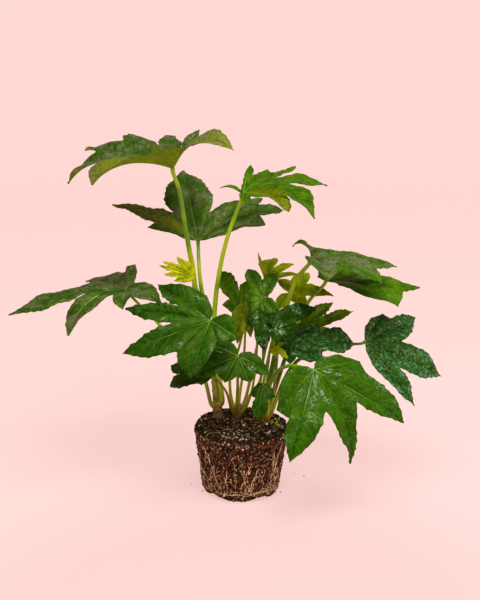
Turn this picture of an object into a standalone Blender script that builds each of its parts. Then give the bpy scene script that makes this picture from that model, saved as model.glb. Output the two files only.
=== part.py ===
"""Young fatsia japonica lifted out of its nursery pot: a moulded root ball with its surface roots,
three short plants growing from it, their leaf stalks, and the lobed leaf blades that they carry.

Metres, +Z up, origin at the middle of the root ball's base. +X is to the right and +Y away from the
side that faces the viewer. Compass headings are degrees anticlockwise from +X, seen from above.
"""

import math
import random
from typing import NamedTuple

import bmesh
import bpy
import numpy as np
from mathutils import Matrix, Vector, noise

MM = 0.001
GAP = 0.3 * MM  # clearance between pieces that touch
WELD = 0.001 * MM  # points closer than this are one

# leaf blades
BLADE_THICKNESS = 0.8 * MM
SPINE_STEPS = 40  # integration steps along a lobe's midrib
CURL_POWER = 1.4  # how late along the lobe the curl sets in
TEETH = 3  # coarse teeth on each free edge of a lobe
TOOTH_HEIGHT = 0.018  # of the lobe's length
TOOTH_PEAK = 0.7  # where along a tooth its point stands
EAR_REACH = 0.13  # how far out the rounded base of an outermost lobe starts, of its length
EAR_CLEARANCE = 4  # degrees that two outermost lobes leave open behind the stalk, each
EDGE_POWER = 1.4  # how fast a lobe narrows towards its tip
INNER_FULLNESS = 4.2  # bulge of a lobe's edge beyond a notch, of its half-width at the notch
INNER_LATENESS = 1.5  # how late that bulge sets in, so that the notches stay open
WIDEST_START = 0.17  # half-width at a notch from which the bulge grows no more, of the lobe's length
OUTER_LEAD = 0.5  # how much sooner an outer edge bulges
OUTER_FULLNESS = 0.75  # bulge of the outer edge of an outermost lobe, of its length
TOOTHLESS_TIP = 0.2  # part of the free edge over which the teeth fade out

# tubes
TUBE_STEPS = 3  # pieces between two knots of a curved tube
ELBOW = 10 * MM  # longest handle where a stalk leaves its stem or meets its blade
FOOT_GAP = 0.55 * MM  # from a stem's surface to the stalk's end, whose edge is nearer than its middle
HEAD_GAP = 0.36 * MM  # from a stalk's end to the blade's underside, measured along the blade's normal
STALK_SIDES = 6
STEM_SIDES = 8

# root ball, moulded by a 12 cm nursery pot
BALL_SIDES = 36
BALL_RIM = 84  # height from which the profile's lumps stand up instead of in, millimetres
BALL_PEAK = 86 * MM
BASE_OVAL = 0.05  # how much wider than round the ball's base is from side to side, and narrower across
HOLE_FLOOR = 74 * MM
HOLE_REACH = 30 * MM  # length of the cutter above the hole's floor
HOLE_SIDES = 12
LUMP_SCALE = 90  # lumps to the metre
BASE_EDGE = (34, 44)  # radii between which the drain notches lift the base, millimetres
BASE_NOTCHES = (38, 130, 223, 306)  # headings of the pot's drain notches in the base edge, degrees
NOTCH_HALF_ANGLE = 18  # degrees
NOTCH_RISE = 6 * MM
# profile from the base's centre to the top's: radius, height and how far the lumps reach, millimetres
BALL_PROFILE = (
    (34, 0, 0),
    (42, 0, 0.4),
    (44, 2, 0.6),
    (45.8, 10, 1.2),
    (47.8, 22, 1.5),
    (50, 36, 1.5),
    (52.2, 50, 1.5),
    (54.2, 64, 1.3),
    (56.6, 77, 1.0),
    (57.8, 84, 0.8),
    (56, 87, 1.6),
    (48, 87, 1.8),
    (38, 86.5, 1.8),
    (27, 86.2, 1.8),
    (15, 86, 1.8),
    (6, 86, 1.4),
)

# roots on the side of the ball
ROOT_SEED = 11
ROOT_COUNT = 16
ROOT_RADIUS = 1.0 * MM
ROOT_SIDES = 4
RING_HEIGHT = 12  # millimetres above the floor, where the roots run together
RING_STEP = 8  # degrees between two knots of the ring
RING_WAVES = ((3, 2.5, 0.0), (7, 1.5, 0.7))  # how the ring rises and falls: waves, millimetres and phase
ROOT_CLEARANCE = 1.15  # distance of a root's middle from the soil's outline, beside the gap, of its radius
ROOT_TOP = (38, 74)  # lowest and highest start of a root, millimetres
ROOT_STEP = (6, 9)  # shortest and longest drop between two knots, millimetres
ROOT_STRAY = 6  # how far a root's heading may lie from its even place, degrees
ROOT_DRIFT = 1.2  # first slant of a root at most
ROOT_TURN = 0.5  # how much the slant changes from knot to knot at most
ROOT_SLANT = 3  # degrees to the knot for a slant of 1
ROOT_FORKS = (1, 1, 2)  # one in three of the roots is a pair
FORK_TOP = (0.5, 0.7)  # where the second of a pair starts, of the first one's height

# finishes: name, linear colour, roughness
SOIL = ("peat_soil", (0.030, 0.018, 0.011), 0.95)
ROOT = ("root", (0.42, 0.27, 0.15), 0.80)
STEM = ("stem", (0.16, 0.17, 0.03), 0.55)
STALK = ("leaf_stalk", (0.24, 0.33, 0.03), 0.45)
LEAF = ("leaf", (0.030, 0.110, 0.018), 0.32)
YOUNG = ("young_leaf", (0.50, 0.52, 0.02), 0.50)


class Lobe(NamedTuple):
    """One lobe of a blade. heading is measured in the blade's own plane, before it leans."""

    heading: float  # degrees
    length: float  # millimetres along the midrib
    width: float = 1.0  # fullness of the free part
    rise: float = None  # degrees that the midrib climbs where it leaves the stalk; None takes the blade's
    curl: float = None  # degrees that the midrib bends down by its tip; None takes the blade's
    twist: float = 0.0  # degrees that the lobe turns about its midrib by its tip
    sweep: float = 0.0  # degrees that the midrib turns sideways by its tip
    fold: float = None  # degrees that each half is raised from the midrib; None takes the blade's
    notch: float = None  # how far out the notch after it lies, as the blade's cut; None takes the blade's
    late: float = INNER_LATENESS  # how late its edge bulges beyond a notch


class Blade(NamedTuple):
    """A palmate blade. joint is where the stalk meets it, in millimetres."""

    joint: tuple
    lean: tuple  # (heading that the upper side leans towards, degrees of lean)
    lobes: tuple
    rise: float = 12.0
    curl: float = 35.0
    fold: float = 10.0
    cut: float = 0.50  # how far out the notches between lobes lie, of the lobes' mean length
    pleat: float = 4.0  # degrees that the web between two lobes rises above their midribs
    ear: float = 72.0  # widest angle from an outermost lobe's midrib to its rounded base, degrees


class Stalk(NamedTuple):
    """A leaf stalk, which leaves its stem in a compass heading at a height."""

    stem: str
    heading: float  # degrees; None where it carries on from the top of the stem
    height: float  # millimetres
    via: tuple  # points that it passes, in millimetres
    foot: float  # radius at the stem, millimetres
    neck: float  # radius at the blade, millimetres


class Leaf(NamedTuple):
    """A blade and the stalk that carries it."""

    blade: Blade
    stalk: Stalk


# knots of each stem: x, y, z and radius in millimetres, the first two in a plain hole in the soil
STEMS = {
    "left": (
        (-29, 22, 74.3, 5.6),
        (-29, 22, 92, 5.6),
        (-30, 23, 108, 5.0),
        (-34, 27, 150, 4.5),
        (-41, 32, 190, 4.2),
        (-47, 40, 234, 3.6),
    ),
    "middle": ((-3, 24, 74.3, 5.4), (-3, 24, 92, 5.4), (-3, 24, 102, 4.6)),
    "right": ((29, 2, 74.3, 5.4), (29, 2, 92, 5.4), (29, 2, 102, 4.6)),
}

LEAVES = {
    # the left plant
    "top_left": Leaf(
        Blade((-80, 20, 400), (180, 0), (
            Lobe(-20, 91, width=1.1, rise=58, curl=100, twist=35),
            Lobe(52, 64, rise=44, curl=15),
            Lobe(95, 108, width=0.8, rise=19, curl=15, notch=0.55),
            Lobe(128, 102, width=0.5, rise=21, curl=10, notch=0.75),
            Lobe(150, 130, width=0.6, rise=13, curl=18, notch=0.75),
            Lobe(170, 141, width=0.45, rise=20, curl=72, notch=0.75),
            Lobe(200, 104, width=1.2, rise=20, curl=70),
            Lobe(262, 74, rise=44, curl=50),
        ), rise=30, curl=60, fold=18, cut=0.42),
        Stalk("left", 175, 224, ((-60, 36, 283), (-67, 30, 330), (-73, 24, 373)), 3, 2.2),
    ),
    "back_high": Leaf(
        Blade((-53, 60, 304), (270, 36), (
            Lobe(12, 87, width=0.2, rise=22, curl=38, notch=0.77),
            Lobe(30, 129, width=0.9, curl=45, notch=0.75),
            Lobe(41, 107, width=0.5, notch=0.35),
            Lobe(102, 134, width=0.7, curl=40, sweep=-4, late=0.8),
            Lobe(158, 126, width=0.3, sweep=-12, notch=0.6),
            Lobe(168, 66, width=0.2, rise=22, curl=40, sweep=-4),
        ), rise=14, curl=30, cut=0.38, ear=24),
        Stalk("left", None, 234, ((-51, 46, 268),), 2.6, 2),
    ),
    "top_right": Leaf(
        Blade((2, 0, 373), (285, 12), (
            Lobe(-85, 24, rise=5, curl=40),
            Lobe(-53, 86, rise=24, curl=46, notch=0.75),
            Lobe(-42, 116, width=1.3, rise=34, curl=80, twist=-15, notch=0.55),
            Lobe(2, 101, rise=28, curl=50),
            Lobe(42, 87, width=0.6, rise=18, curl=20, notch=0.55),
            Lobe(62, 66, rise=12, curl=10, notch=0.6),
            Lobe(82, 56, width=0.9, rise=20, curl=10, notch=0.12),
            Lobe(160, 31, rise=32, curl=70),
        ), rise=16, curl=45, cut=0.42),
        Stalk("left", 340, 104, ((-33, 18, 182), (-32, 15, 225), (-26.5, 12, 272), (-15.5, 7, 321)), 3, 2.2),
    ),
    "left": Leaf(
        Blade((-137, 10, 257), (225, 12), (
            Lobe(-34, 54, width=2.2, rise=4, curl=50, notch=0.25),
            Lobe(66, 35, width=1.4, rise=37, curl=10),
            Lobe(125, 115, rise=-7, curl=8),
            Lobe(157, 116, width=0.8, rise=-2, curl=15),
            Lobe(195, 143, width=1.2, rise=13, curl=30, twist=-22, fold=-14),
            Lobe(225, 103, width=1.6, rise=16, curl=70),
            Lobe(268, 49, width=1.2, rise=9),
        ), rise=8, curl=40, cut=0.42),
        Stalk("left", 205, 101, ((-47, 16, 143), (-75, 19, 180), (-105, 15, 216)), 2.4, 1.8),
    ),
    "front_left": Leaf(
        Blade((-35, -60, 237), (262, 50), (
            Lobe(138, 82, width=1.15, notch=0.44),
            Lobe(165, 103, width=0.85, notch=0.42),
            Lobe(198, 107, width=0.8, sweep=-4, notch=0.6),
            Lobe(249, 72),
            Lobe(322, 40, width=2.4),
        ), rise=6, curl=22, ear=70),
        Stalk("left", 245, 165, (), 2.4, 1.9),
    ),
    "low_left": Leaf(
        Blade((-35, -20, 158), (240, 45), (
            Lobe(148, 61),
            Lobe(177, 56),
            Lobe(213, 18),
        ), rise=6, curl=22, cut=0.7),
        Stalk("middle", 205, 92, ((-19, 5, 128),), 2, 1.5),
    ),
    "young": Leaf(
        Blade((-55, 0, 274), (270, 70), (
            Lobe(132, 31),
            Lobe(156, 41),
            Lobe(163, 44),
            Lobe(177, 36),
            Lobe(194, 25),
        ), rise=5, curl=10),
        Stalk("left", 262, 222, (), 1.6, 1.1),
    ),
    # the middle plant
    "front_low": Leaf(
        Blade((-4, -45, 190), (275, 50), (
            Lobe(157, 49),
            Lobe(209, 57),
            Lobe(246, 36),
            Lobe(296, 36),
            Lobe(335, 43, width=1.2),
        ), rise=6, curl=25, cut=0.7),
        Stalk("middle", 250, 94, ((-4, -10, 141),), 2.2, 1.7),
    ),
    "back_left": Leaf(
        Blade((6, 55, 212), (265, 45), (
            Lobe(57, 47),
            Lobe(87, 50),
            Lobe(117, 78, width=1.5),
            Lobe(154, 33),
        ), rise=8, curl=25),
        Stalk("middle", 135, 95, ((-14, 36, 132), (-2, 46, 172)), 2.2, 1.6),
    ),
    "top_middle": Leaf(
        Blade((33, 50, 251), (200, 15), (
            Lobe(-5, 42, rise=30),
            Lobe(30, 46, width=1.2, rise=38),
            Lobe(76, 53, width=1.5, rise=44, curl=64),
            Lobe(150, 42, width=0.3, rise=85, curl=0, notch=0.2),
        ), rise=50, curl=60),
        Stalk("middle", 40, 97, ((19, 40, 169),), 2.2, 1.6),
    ),
    "middle": Leaf(
        Blade((25, -10, 250), (255, 50), (
            Lobe(58, 43),
            Lobe(108, 50),
            Lobe(155, 24),
            Lobe(241, 29),
            Lobe(306, 35),
        ), rise=8, curl=45),
        Stalk("middle", 345, 95, ((12, 18, 118), (23, 13, 137), (27, 4, 185)), 2.2, 1.6),
    ),
    "inner_dark": Leaf(
        Blade((19, -35, 240), (270, 60), (
            Lobe(231, 20),
            Lobe(280, 46, width=1.3),
            Lobe(334, 26),
        ), rise=8, curl=40),
        Stalk("middle", 300, 93, ((11, 3, 120),), 2, 1.5),
    ),
    "hanging": Leaf(
        Blade((6, 30, 233), (270, 55), (
            Lobe(258, 53, width=1.2),
            Lobe(278, 45),
        ), rise=8, curl=35),
        Stalk("middle", None, 102, ((2, 31, 140), (5, 38, 185)), 2, 1.5),
    ),
    # the right plant
    "back_right": Leaf(
        Blade((61, 50, 240), (280, 20), (
            Lobe(-125, 35, rise=-1),
            Lobe(-55, 33, rise=9),
            Lobe(-10, 55, rise=24),
            Lobe(50, 40, rise=37),
            Lobe(130, 28, rise=27),
        ), rise=15, curl=45),
        Stalk("right", 130, 99, ((40, 65, 174),), 2.2, 1.6),
    ),
    "right_high": Leaf(
        Blade((83, -10, 299), (300, 18), (
            Lobe(-77, 63, width=1.3, rise=25, curl=50),
            Lobe(-32, 93, width=1.3, rise=23, curl=45),
            Lobe(-2, 100, width=0.7, rise=12, curl=22, fold=-15),
            Lobe(36, 82, width=0.7, rise=-4, curl=10, fold=-8),
            Lobe(80, 38, rise=-4, curl=10),
            Lobe(165, 35, rise=76, curl=150),
        ), rise=10, curl=40, cut=0.55, ear=55),
        Stalk("right", None, 102, ((43, 16, 177), (55, 10, 233), (65, 0, 269)), 3, 2.3),
    ),
    "right_mid": Leaf(
        Blade((104, 35, 260), (290, 26), (
            Lobe(-42, 110, width=2.0, rise=34, curl=42, notch=0.75, late=2.2),
            Lobe(-12, 114, width=0.6, rise=23, curl=24, fold=-10),
            Lobe(28, 72, width=1.2, rise=3, curl=10),
            Lobe(75, 78, rise=-5),
            Lobe(165, 11, rise=18),
        ), rise=5, curl=30, cut=0.55, ear=35),
        Stalk("right", 54, 99, ((60, 22, 181), (81, 18, 236)), 2.6, 2),
    ),
    "right_inner": Leaf(
        Blade((45, -10, 192), (280, 45), (
            Lobe(-57, 28),
            Lobe(-13, 57),
            Lobe(11, 100, width=2.1),
            Lobe(36, 61),
        ), rise=6, curl=30, cut=0.62),
        Stalk("right", 336, 99, (), 2.2, 1.6),
    ),
    "right_back": Leaf(
        Blade((63, 35, 186), (278, 38), (
            Lobe(14, 59),
            Lobe(34, 98, width=1.1),
            Lobe(50, 87, width=0.7, notch=0.7),
            Lobe(72, 49),
            Lobe(132, 37),
        ), rise=8, curl=30),
        Stalk("right", 93, 93, (), 2.2, 1.6),
    ),
    "far_right": Leaf(
        Blade((150, 5, 191), (295, 50), (
            Lobe(-46, 98, width=0.6, sweep=12),
            Lobe(-12, 111, sweep=12, notch=0.47),
            Lobe(40, 90, width=0.75, notch=0.75),
            Lobe(66, 53),
        ), rise=6, curl=25, ear=35),
        Stalk("right", 16, 93, ((68, 14, 162), (104, 28, 173), (132, 29, 179)), 2.4, 1.8),
    ),
    "front_right": Leaf(
        Blade((84, -60, 178), (280, 55), (
            Lobe(-128, 66, width=1.6, notch=0.7),
            Lobe(-101, 112, width=0.9, notch=0.44),
            Lobe(-45, 124, width=0.3, curl=60, twist=-30, sweep=-33),
            Lobe(-24, 122, width=0.7, notch=0.8),
            Lobe(18, 57),
        ), rise=8, curl=28),
        Stalk("right", 296, 94, ((36, -14, 146), (55, -38, 175)), 2.6, 2),
    ),
    "low_front": Leaf(
        Blade((26, -45, 155), (270, 60), (
            Lobe(220, 20),
            Lobe(260, 43, width=1.6),
            Lobe(312, 21),
        ), rise=6, curl=25, cut=0.6),
        Stalk("right", 204, 98, ((22, -20, 135),), 1.6, 1.2),
    ),
    "inner_glossy": Leaf(
        Blade((36, -40, 220), (285, 52), (
            Lobe(-70, 20),
            Lobe(16, 36),
            Lobe(38, 70),
            Lobe(129, 21),
        ), rise=8, curl=35),
        Stalk("right", 167, 93, ((25, -5, 156),), 2, 1.5),
    ),
    "low_inner": Leaf(
        Blade((35, -25, 195), (270, 40), (
            Lobe(-65, 18),
            Lobe(-36, 26),
            Lobe(22, 18),
        ), rise=10, curl=50),
        Stalk("right", 250, 93, (), 1.6, 1.2),
    ),
}


def spine(heading, length, rise, curl, sweep=0.0, twist=0.0):
    """A midrib as arrays of points, sideways directions and upper normals, in the blade's own frame."""
    t = np.linspace(0, 1, SPINE_STEPS + 1)
    climb = np.radians(rise - curl * t**CURL_POWER)
    turn = np.radians(heading + sweep * t)
    along = np.stack([np.cos(climb) * np.cos(turn), np.cos(climb) * np.sin(turn), np.sin(climb)], 1)
    steps = (along[1:] + along[:-1]) / 2 * length / SPINE_STEPS
    points = np.vstack([np.zeros(3), np.cumsum(steps, 0)])
    side = np.stack([-np.sin(turn), np.cos(turn), np.zeros_like(turn)], 1)
    upper = np.cross(along, side)
    roll = np.radians(twist * t)[:, None]
    return points, side * np.cos(roll) + upper * np.sin(roll), upper * np.cos(roll) - side * np.sin(roll)


def along_spine(curve, t):
    """Rows of an array sampled along a spine, read at the fractions t."""
    steps = np.linspace(0, 1, len(curve))
    return np.stack([np.interp(t, steps, curve[:, k]) for k in range(3)], -1)


def pick(value, default):
    """The lobe's own value, or the blade's where the lobe gives none."""
    return default if value is None else value


def edge_width(u, start, fullness, late):
    """Half-width of a lobe, of its length, at the fraction u of its free edge, with a bulge that may set in late."""
    return (1 - u) ** EDGE_POWER * (start + fullness * u**late)


def tooth(u):
    """Saw-tooth outline of the free edge: 1 on a tooth's point and 0 in its notch."""
    phase = u * TEETH % 1.0
    saw = np.where(phase < TOOTH_PEAK, phase / TOOTH_PEAK, (1 - phase) / (1 - TOOTH_PEAK))
    return saw * np.clip((1 - u) / TOOTHLESS_TIP, 0, 1)


def notch_spines(blade):
    """The line from the stalk to the notch on each side of every lobe, and how far out each notch lies."""
    lobes = blade.lobes
    ear = min(blade.ear, (360 - lobes[-1].heading + lobes[0].heading) / 2 - EAR_CLEARANCE)
    found = []
    for k in range(len(lobes) + 1):
        inner = 0 < k < len(lobes)
        before, after = lobes[max(k - 1, 0)], lobes[min(k, len(lobes) - 1)]
        length = (before.length + after.length) / 2 * MM
        heading = (before.heading + after.heading) / 2
        rise = (pick(before.rise, blade.rise) + pick(after.rise, blade.rise)) / 2
        curl = (pick(before.curl, blade.curl) + pick(after.curl, blade.curl)) / 2
        if inner:
            reach = pick(before.notch, blade.cut)
            rise += blade.pleat
        else:
            reach = EAR_REACH
            heading += -ear if k == 0 else ear
        points, _, _ = spine(heading, length, rise, curl)
        found.append((points, heading, length * reach, reach, inner))
    return found


def free_steps():
    """Fractions along the free edge where the outline has a point: each tooth's tip and notch."""
    return np.array([(k + d) / TEETH for k in range(TEETH) for d in (TOOTH_PEAK, 1.0)])


def blade_sheet(blade):
    """Points and faces of a blade's middle surface, in its own frame, seen anticlockwise from above."""
    notches = notch_spines(blade)
    steps = free_steps()
    points, faces, notch_rows = [np.zeros(3)], [], []
    for curve, _, _, reach, _ in notches:
        notch_rows.append((len(points), len(points) + 1))
        points.extend(along_spine(curve, np.array([reach / 2, reach])))
    for k, lobe in enumerate(blade.lobes):
        length = lobe.length * MM
        rise, curl = pick(lobe.rise, blade.rise), pick(lobe.curl, blade.curl)
        middle, side, upper = spine(lobe.heading, length, rise, curl, lobe.sweep, lobe.twist)
        fold = math.radians(pick(lobe.fold, blade.fold))
        feet = []
        for n in (k, k + 1):
            away = notches[n][2] / length
            between = math.radians(notches[n][1] - lobe.heading)
            feet.append((away * math.cos(between), away * abs(math.sin(between))))
        foot_mean = (feet[0][0] + feet[1][0]) / 2
        rib_t = np.concatenate([[foot_mean / 2, foot_mean], foot_mean + (1 - foot_mean) * steps])
        rib = [0] + [len(points) + i for i in range(len(rib_t))]
        points.extend(along_spine(middle, rib_t))
        for hand, n in ((-1, k), (1, k + 1)):
            foot, start = feet[n - k]
            fullness, late = OUTER_FULLNESS * lobe.width, lobe.late - OUTER_LEAD
            if notches[n][4]:
                fullness, late = INNER_FULLNESS * min(start, WIDEST_START) * lobe.width, lobe.late

            def edge(u):
                t = foot + (1 - foot) * u
                half = (edge_width(u, start, fullness, late) + TOOTH_HEIGHT * tooth(u)) * length
                out = hand * along_spine(side, t) * math.cos(fold) + along_spine(upper, t) * math.sin(fold)
                return along_spine(middle, t) + out * half[:, None]

            free = steps[:-1]
            shift = points[notch_rows[n][1]] - edge(np.array([0.0]))[0]
            border = [0, *notch_rows[n]] + [len(points) + i for i in range(len(free))] + [rib[-1]]
            points.extend(edge(free) + shift * ((1 - free) ** 2)[:, None])
            for i in range(len(border) - 1):
                quad = [rib[i], rib[i + 1], border[i + 1], border[i]]
                corners = [p for j, p in enumerate(quad) if p != quad[j - 1]]
                faces.append(corners if hand > 0 else corners[::-1])
    return np.array(points), faces


def leaning(lean):
    """Rotation that tips a level blade so that its upper side leans by lean[1] degrees towards lean[0]."""
    towards = math.radians(lean[0])
    return Matrix.Rotation(math.radians(lean[1]), 3, Vector((-math.sin(towards), math.cos(towards), 0)))


def split_quads(points, faces):
    """Every face as triangles, each quad along its shorter diagonal."""
    found = []
    for face in faces:
        if len(face) == 3:
            found.append(tuple(face))
            continue
        a, b, c, d = face
        if np.linalg.norm(points[a] - points[c]) <= np.linalg.norm(points[b] - points[d]):
            found += [(a, b, c), (a, c, d)]
        else:
            found += [(a, b, d), (b, c, d)]
    return found


def material(name, colour, roughness):
    """A plain finish: colour is linear red, green and blue."""
    made = bpy.data.materials.get(name)
    if made is None:
        made = bpy.data.materials.new(name)
        made.use_nodes = True
        shader = made.node_tree.nodes["Principled BSDF"]
        shader.inputs["Base Color"].default_value = (*colour, 1.0)
        shader.inputs["Roughness"].default_value = roughness
        shader.inputs["Metallic"].default_value = 0.0
    return made


def add_object(name, data, finish):
    """An object in the scene that holds the mesh or curve and wears the finish."""
    data.materials.clear()
    data.materials.append(material(*finish))
    made = bpy.data.objects.new(name, data)
    bpy.context.scene.collection.objects.link(made)
    return made


def add_faces(name, points, faces, finish):
    """An object from points and faces."""
    mesh = bpy.data.meshes.new(name)
    mesh.from_pydata([tuple(p) for p in points], [], faces)
    return add_object(name, mesh, finish)


def evaluated_mesh(made):
    """A new mesh with the object's modifiers, or its curve's bevel, made real."""
    return bpy.data.meshes.new_from_object(made.evaluated_get(bpy.context.evaluated_depsgraph_get()))


def apply_modifiers(made):
    """The same object with its modifiers made part of its mesh."""
    mesh = evaluated_mesh(made)
    made.modifiers.clear()
    made.data = mesh


def add_blade(name, blade, finish):
    """A leaf blade as one closed shell, with its origin where the stalk meets it."""
    points, faces = blade_sheet(blade)
    made = add_faces(name, points, split_quads(points, faces), finish)
    made.location = Vector(blade.joint) * MM
    made.rotation_euler = leaning(blade.lean).to_euler()
    thick = made.modifiers.new("thickness", "SOLIDIFY")
    thick.thickness = BLADE_THICKNESS
    thick.offset = 0
    made.modifiers.new("rim", "TRIANGULATE")
    return made


def tube_curve(name, points, radii, sides, straight, loop):
    """A curve through points with a round bevel; straight pieces or automatic handles."""
    curve = bpy.data.curves.new(name, "CURVE")
    curve.dimensions = "3D"
    curve.bevel_depth = 1.0
    curve.bevel_resolution = (sides - 4) // 2
    curve.resolution_u = TUBE_STEPS
    curve.use_fill_caps = not loop
    spline = curve.splines.new("POLY" if straight else "BEZIER")
    spline.use_cyclic_u = loop
    knots = spline.points if straight else spline.bezier_points
    knots.add(len(points) - 1)
    for knot, place, radius in zip(knots, points, radii):
        knot.radius = radius
        if straight:
            knot.co = (*place, 1.0)
        else:
            knot.co = place
            knot.handle_left_type = knot.handle_right_type = "AUTO"
    return curve


def aim(knot, beyond, way):
    """Sets an end knot's handles along way, its direction of travel."""
    reach = min((beyond - knot.co).length / 3, ELBOW)
    knot.handle_left_type = knot.handle_right_type = "FREE"
    knot.handle_left = knot.co - way * reach
    knot.handle_right = knot.co + way * reach


def add_tube(name, points, radii, finish, sides=STALK_SIDES, ways=None, loop=False):
    """A closed tube whose origin is its first point. ways are the directions it sets off and arrives in."""
    origin = points[0]
    points = [p - origin for p in points]
    curve = tube_curve(name, points, radii, sides, ways is None, loop)
    if ways is not None:
        knots = curve.splines[0].bezier_points
        aim(knots[0], points[1], ways[0])
        aim(knots[-1], points[-2], ways[1])
    drawn = add_object(name, curve, finish)
    mesh = evaluated_mesh(drawn)
    bpy.data.objects.remove(drawn, do_unlink=True)
    work = bmesh.new()
    work.from_mesh(mesh)
    bmesh.ops.remove_doubles(work, verts=work.verts, dist=WELD)
    bmesh.ops.triangulate(work, faces=[f for f in work.faces if len(f.verts) == 4])
    bmesh.ops.recalc_face_normals(work, faces=work.faces)
    work.to_mesh(mesh)
    work.free()
    made = add_object(name, mesh, finish)
    made.location = origin
    return made


def add_stem(name, knots):
    """A stem as one tube with a flat foot."""
    return add_tube(name, [Vector(k[:3]) * MM for k in knots], [k[3] * MM for k in knots], STEM, STEM_SIDES)


def stem_at(knots, height):
    """Axis point and radius of a stem at a height, in metres."""
    table = np.array(knots) * MM
    x, y, radius = (float(np.interp(height, table[:, 2], table[:, k])) for k in (0, 1, 3))
    return Vector((x, y, height)), radius


def add_stalk(name, blade, stalk, finish):
    """A leaf stalk, from just off its stem's surface to just under the blade."""
    knots = STEMS[stalk.stem]
    axis, radius = stem_at(knots, stalk.height * MM)
    if stalk.heading is None:
        way = (Vector(knots[-1][:3]) - Vector(knots[-2][:3])).normalized()
        foot = axis + way * GAP
    else:
        heading = math.radians(stalk.heading)
        way = Vector((math.cos(heading), math.sin(heading), 0))
        foot = axis + way * (radius + FOOT_GAP)
    normal = leaning(blade.lean) @ Vector((0, 0, 1))
    steepest = min(0, *(pick(lobe.rise, blade.rise) for lobe in blade.lobes))
    below = BLADE_THICKNESS / 2 + HEAD_GAP - math.tan(math.radians(steepest)) * stalk.neck * MM
    head = Vector(blade.joint) * MM - normal * below
    points = [foot, *(Vector(p) * MM for p in stalk.via), head]
    radii = np.linspace(stalk.foot, stalk.neck, len(points)) * MM
    return add_tube(name, points, radii, finish, ways=(way, normal))


def ball_swell(turn, height):
    """How much wider than round the root ball is, at a heading and a height in millimetres."""
    return 1 + BASE_OVAL * math.cos(2 * turn) * max(0, 1 - height / BALL_RIM)


def ball_point(radius, height, lump, turn):
    """A point of the root ball's surface. The side only has hollows, so that the roots clear it."""
    place = Vector((math.cos(turn), math.sin(turn), 0)) * radius * MM * ball_swell(turn, height)
    rough = noise.noise(Vector((place.x, place.y, height * MM)) * LUMP_SCALE)
    if height > BALL_RIM:
        return place + Vector((0, 0, (height + rough * lump) * MM))
    place *= 1 - abs(rough) * lump / radius
    off = min(abs((math.degrees(turn) - notch + 180) % 360 - 180) for notch in BASE_NOTCHES)
    lift = NOTCH_RISE * max(0, 1 - (off / NOTCH_HALF_ANGLE) ** 2)
    if not BASE_EDGE[0] < radius <= BASE_EDGE[1]:
        lift = 0
    return place + Vector((0, 0, height * MM + lift))


def add_root_ball():
    """The moulded peat, with a hole for each stem."""
    turns = [2 * math.pi * k / BALL_SIDES for k in range(BALL_SIDES)]
    points = [ball_point(*ring, turn) for ring in BALL_PROFILE for turn in turns]
    faces = []
    for ring in range(len(BALL_PROFILE) - 1):
        for k in range(BALL_SIDES):
            a, b = ring * BALL_SIDES + k, ring * BALL_SIDES + (k + 1) % BALL_SIDES
            faces.append((a, b, b + BALL_SIDES, a + BALL_SIDES))
    last = len(points) - BALL_SIDES
    points.append(Vector((0, 0, BALL_PEAK)))
    faces += [(last + k, last + (k + 1) % BALL_SIDES, len(points) - 1) for k in range(BALL_SIDES)]
    base = tuple(reversed(range(BALL_SIDES)))
    ball = add_faces("root_ball", points, [base, *split_quads(np.array(points), faces)], SOIL)
    for name, knots in STEMS.items():
        x, y, _, radius = (value * MM for value in knots[0])
        bpy.ops.mesh.primitive_cylinder_add(
            vertices=HOLE_SIDES,
            radius=(radius + GAP) / math.cos(math.pi / HOLE_SIDES),
            depth=HOLE_REACH,
            location=(x, y, HOLE_FLOOR + HOLE_REACH / 2),
        )
        cutter = bpy.context.object
        cut = ball.modifiers.new(f"hole_{name}", "BOOLEAN")
        cut.operation = "DIFFERENCE"
        cut.solver = "EXACT"
        cut.object = cutter
        apply_modifiers(ball)
        bpy.data.objects.remove(cutter, do_unlink=True)
    return ball


def root_knot(heading, height):
    """A point just off the root ball's side, heading in degrees and height in millimetres."""
    sides = [(z, r) for r, z, _ in BALL_PROFILE if r >= BASE_EDGE[1] and z < BALL_RIM]
    radius = np.interp(height, [z for z, _ in sides], [r for _, r in sides]) * MM
    turn = math.radians(heading)
    reach = radius * ball_swell(turn, height) + GAP + ROOT_RADIUS * ROOT_CLEARANCE
    return Vector((math.cos(turn) * reach, math.sin(turn) * reach, height * MM))


def ring_height(heading):
    """Height of the ring of roots at a heading, in millimetres."""
    turn = math.radians(heading)
    return RING_HEIGHT + sum(rise * math.sin(waves * turn + start) for waves, rise, start in RING_WAVES)


def root_path(heading, top, chance):
    """A root that wanders down the side of the ball to the ring."""
    height, turn, drift = top, heading, chance.uniform(-ROOT_DRIFT, ROOT_DRIFT)
    path = []
    while height > ring_height(turn):
        path.append(root_knot(turn, height))
        height -= chance.uniform(*ROOT_STEP)
        drift += chance.uniform(-ROOT_TURN, ROOT_TURN)
        turn += drift * ROOT_SLANT
    return [*path, root_knot(turn, ring_height(turn))]


def add_root(name, path, loop=False):
    """One root as a thin tube."""
    return add_tube(name, path, [ROOT_RADIUS] * len(path), ROOT, ROOT_SIDES, loop=loop)


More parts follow.
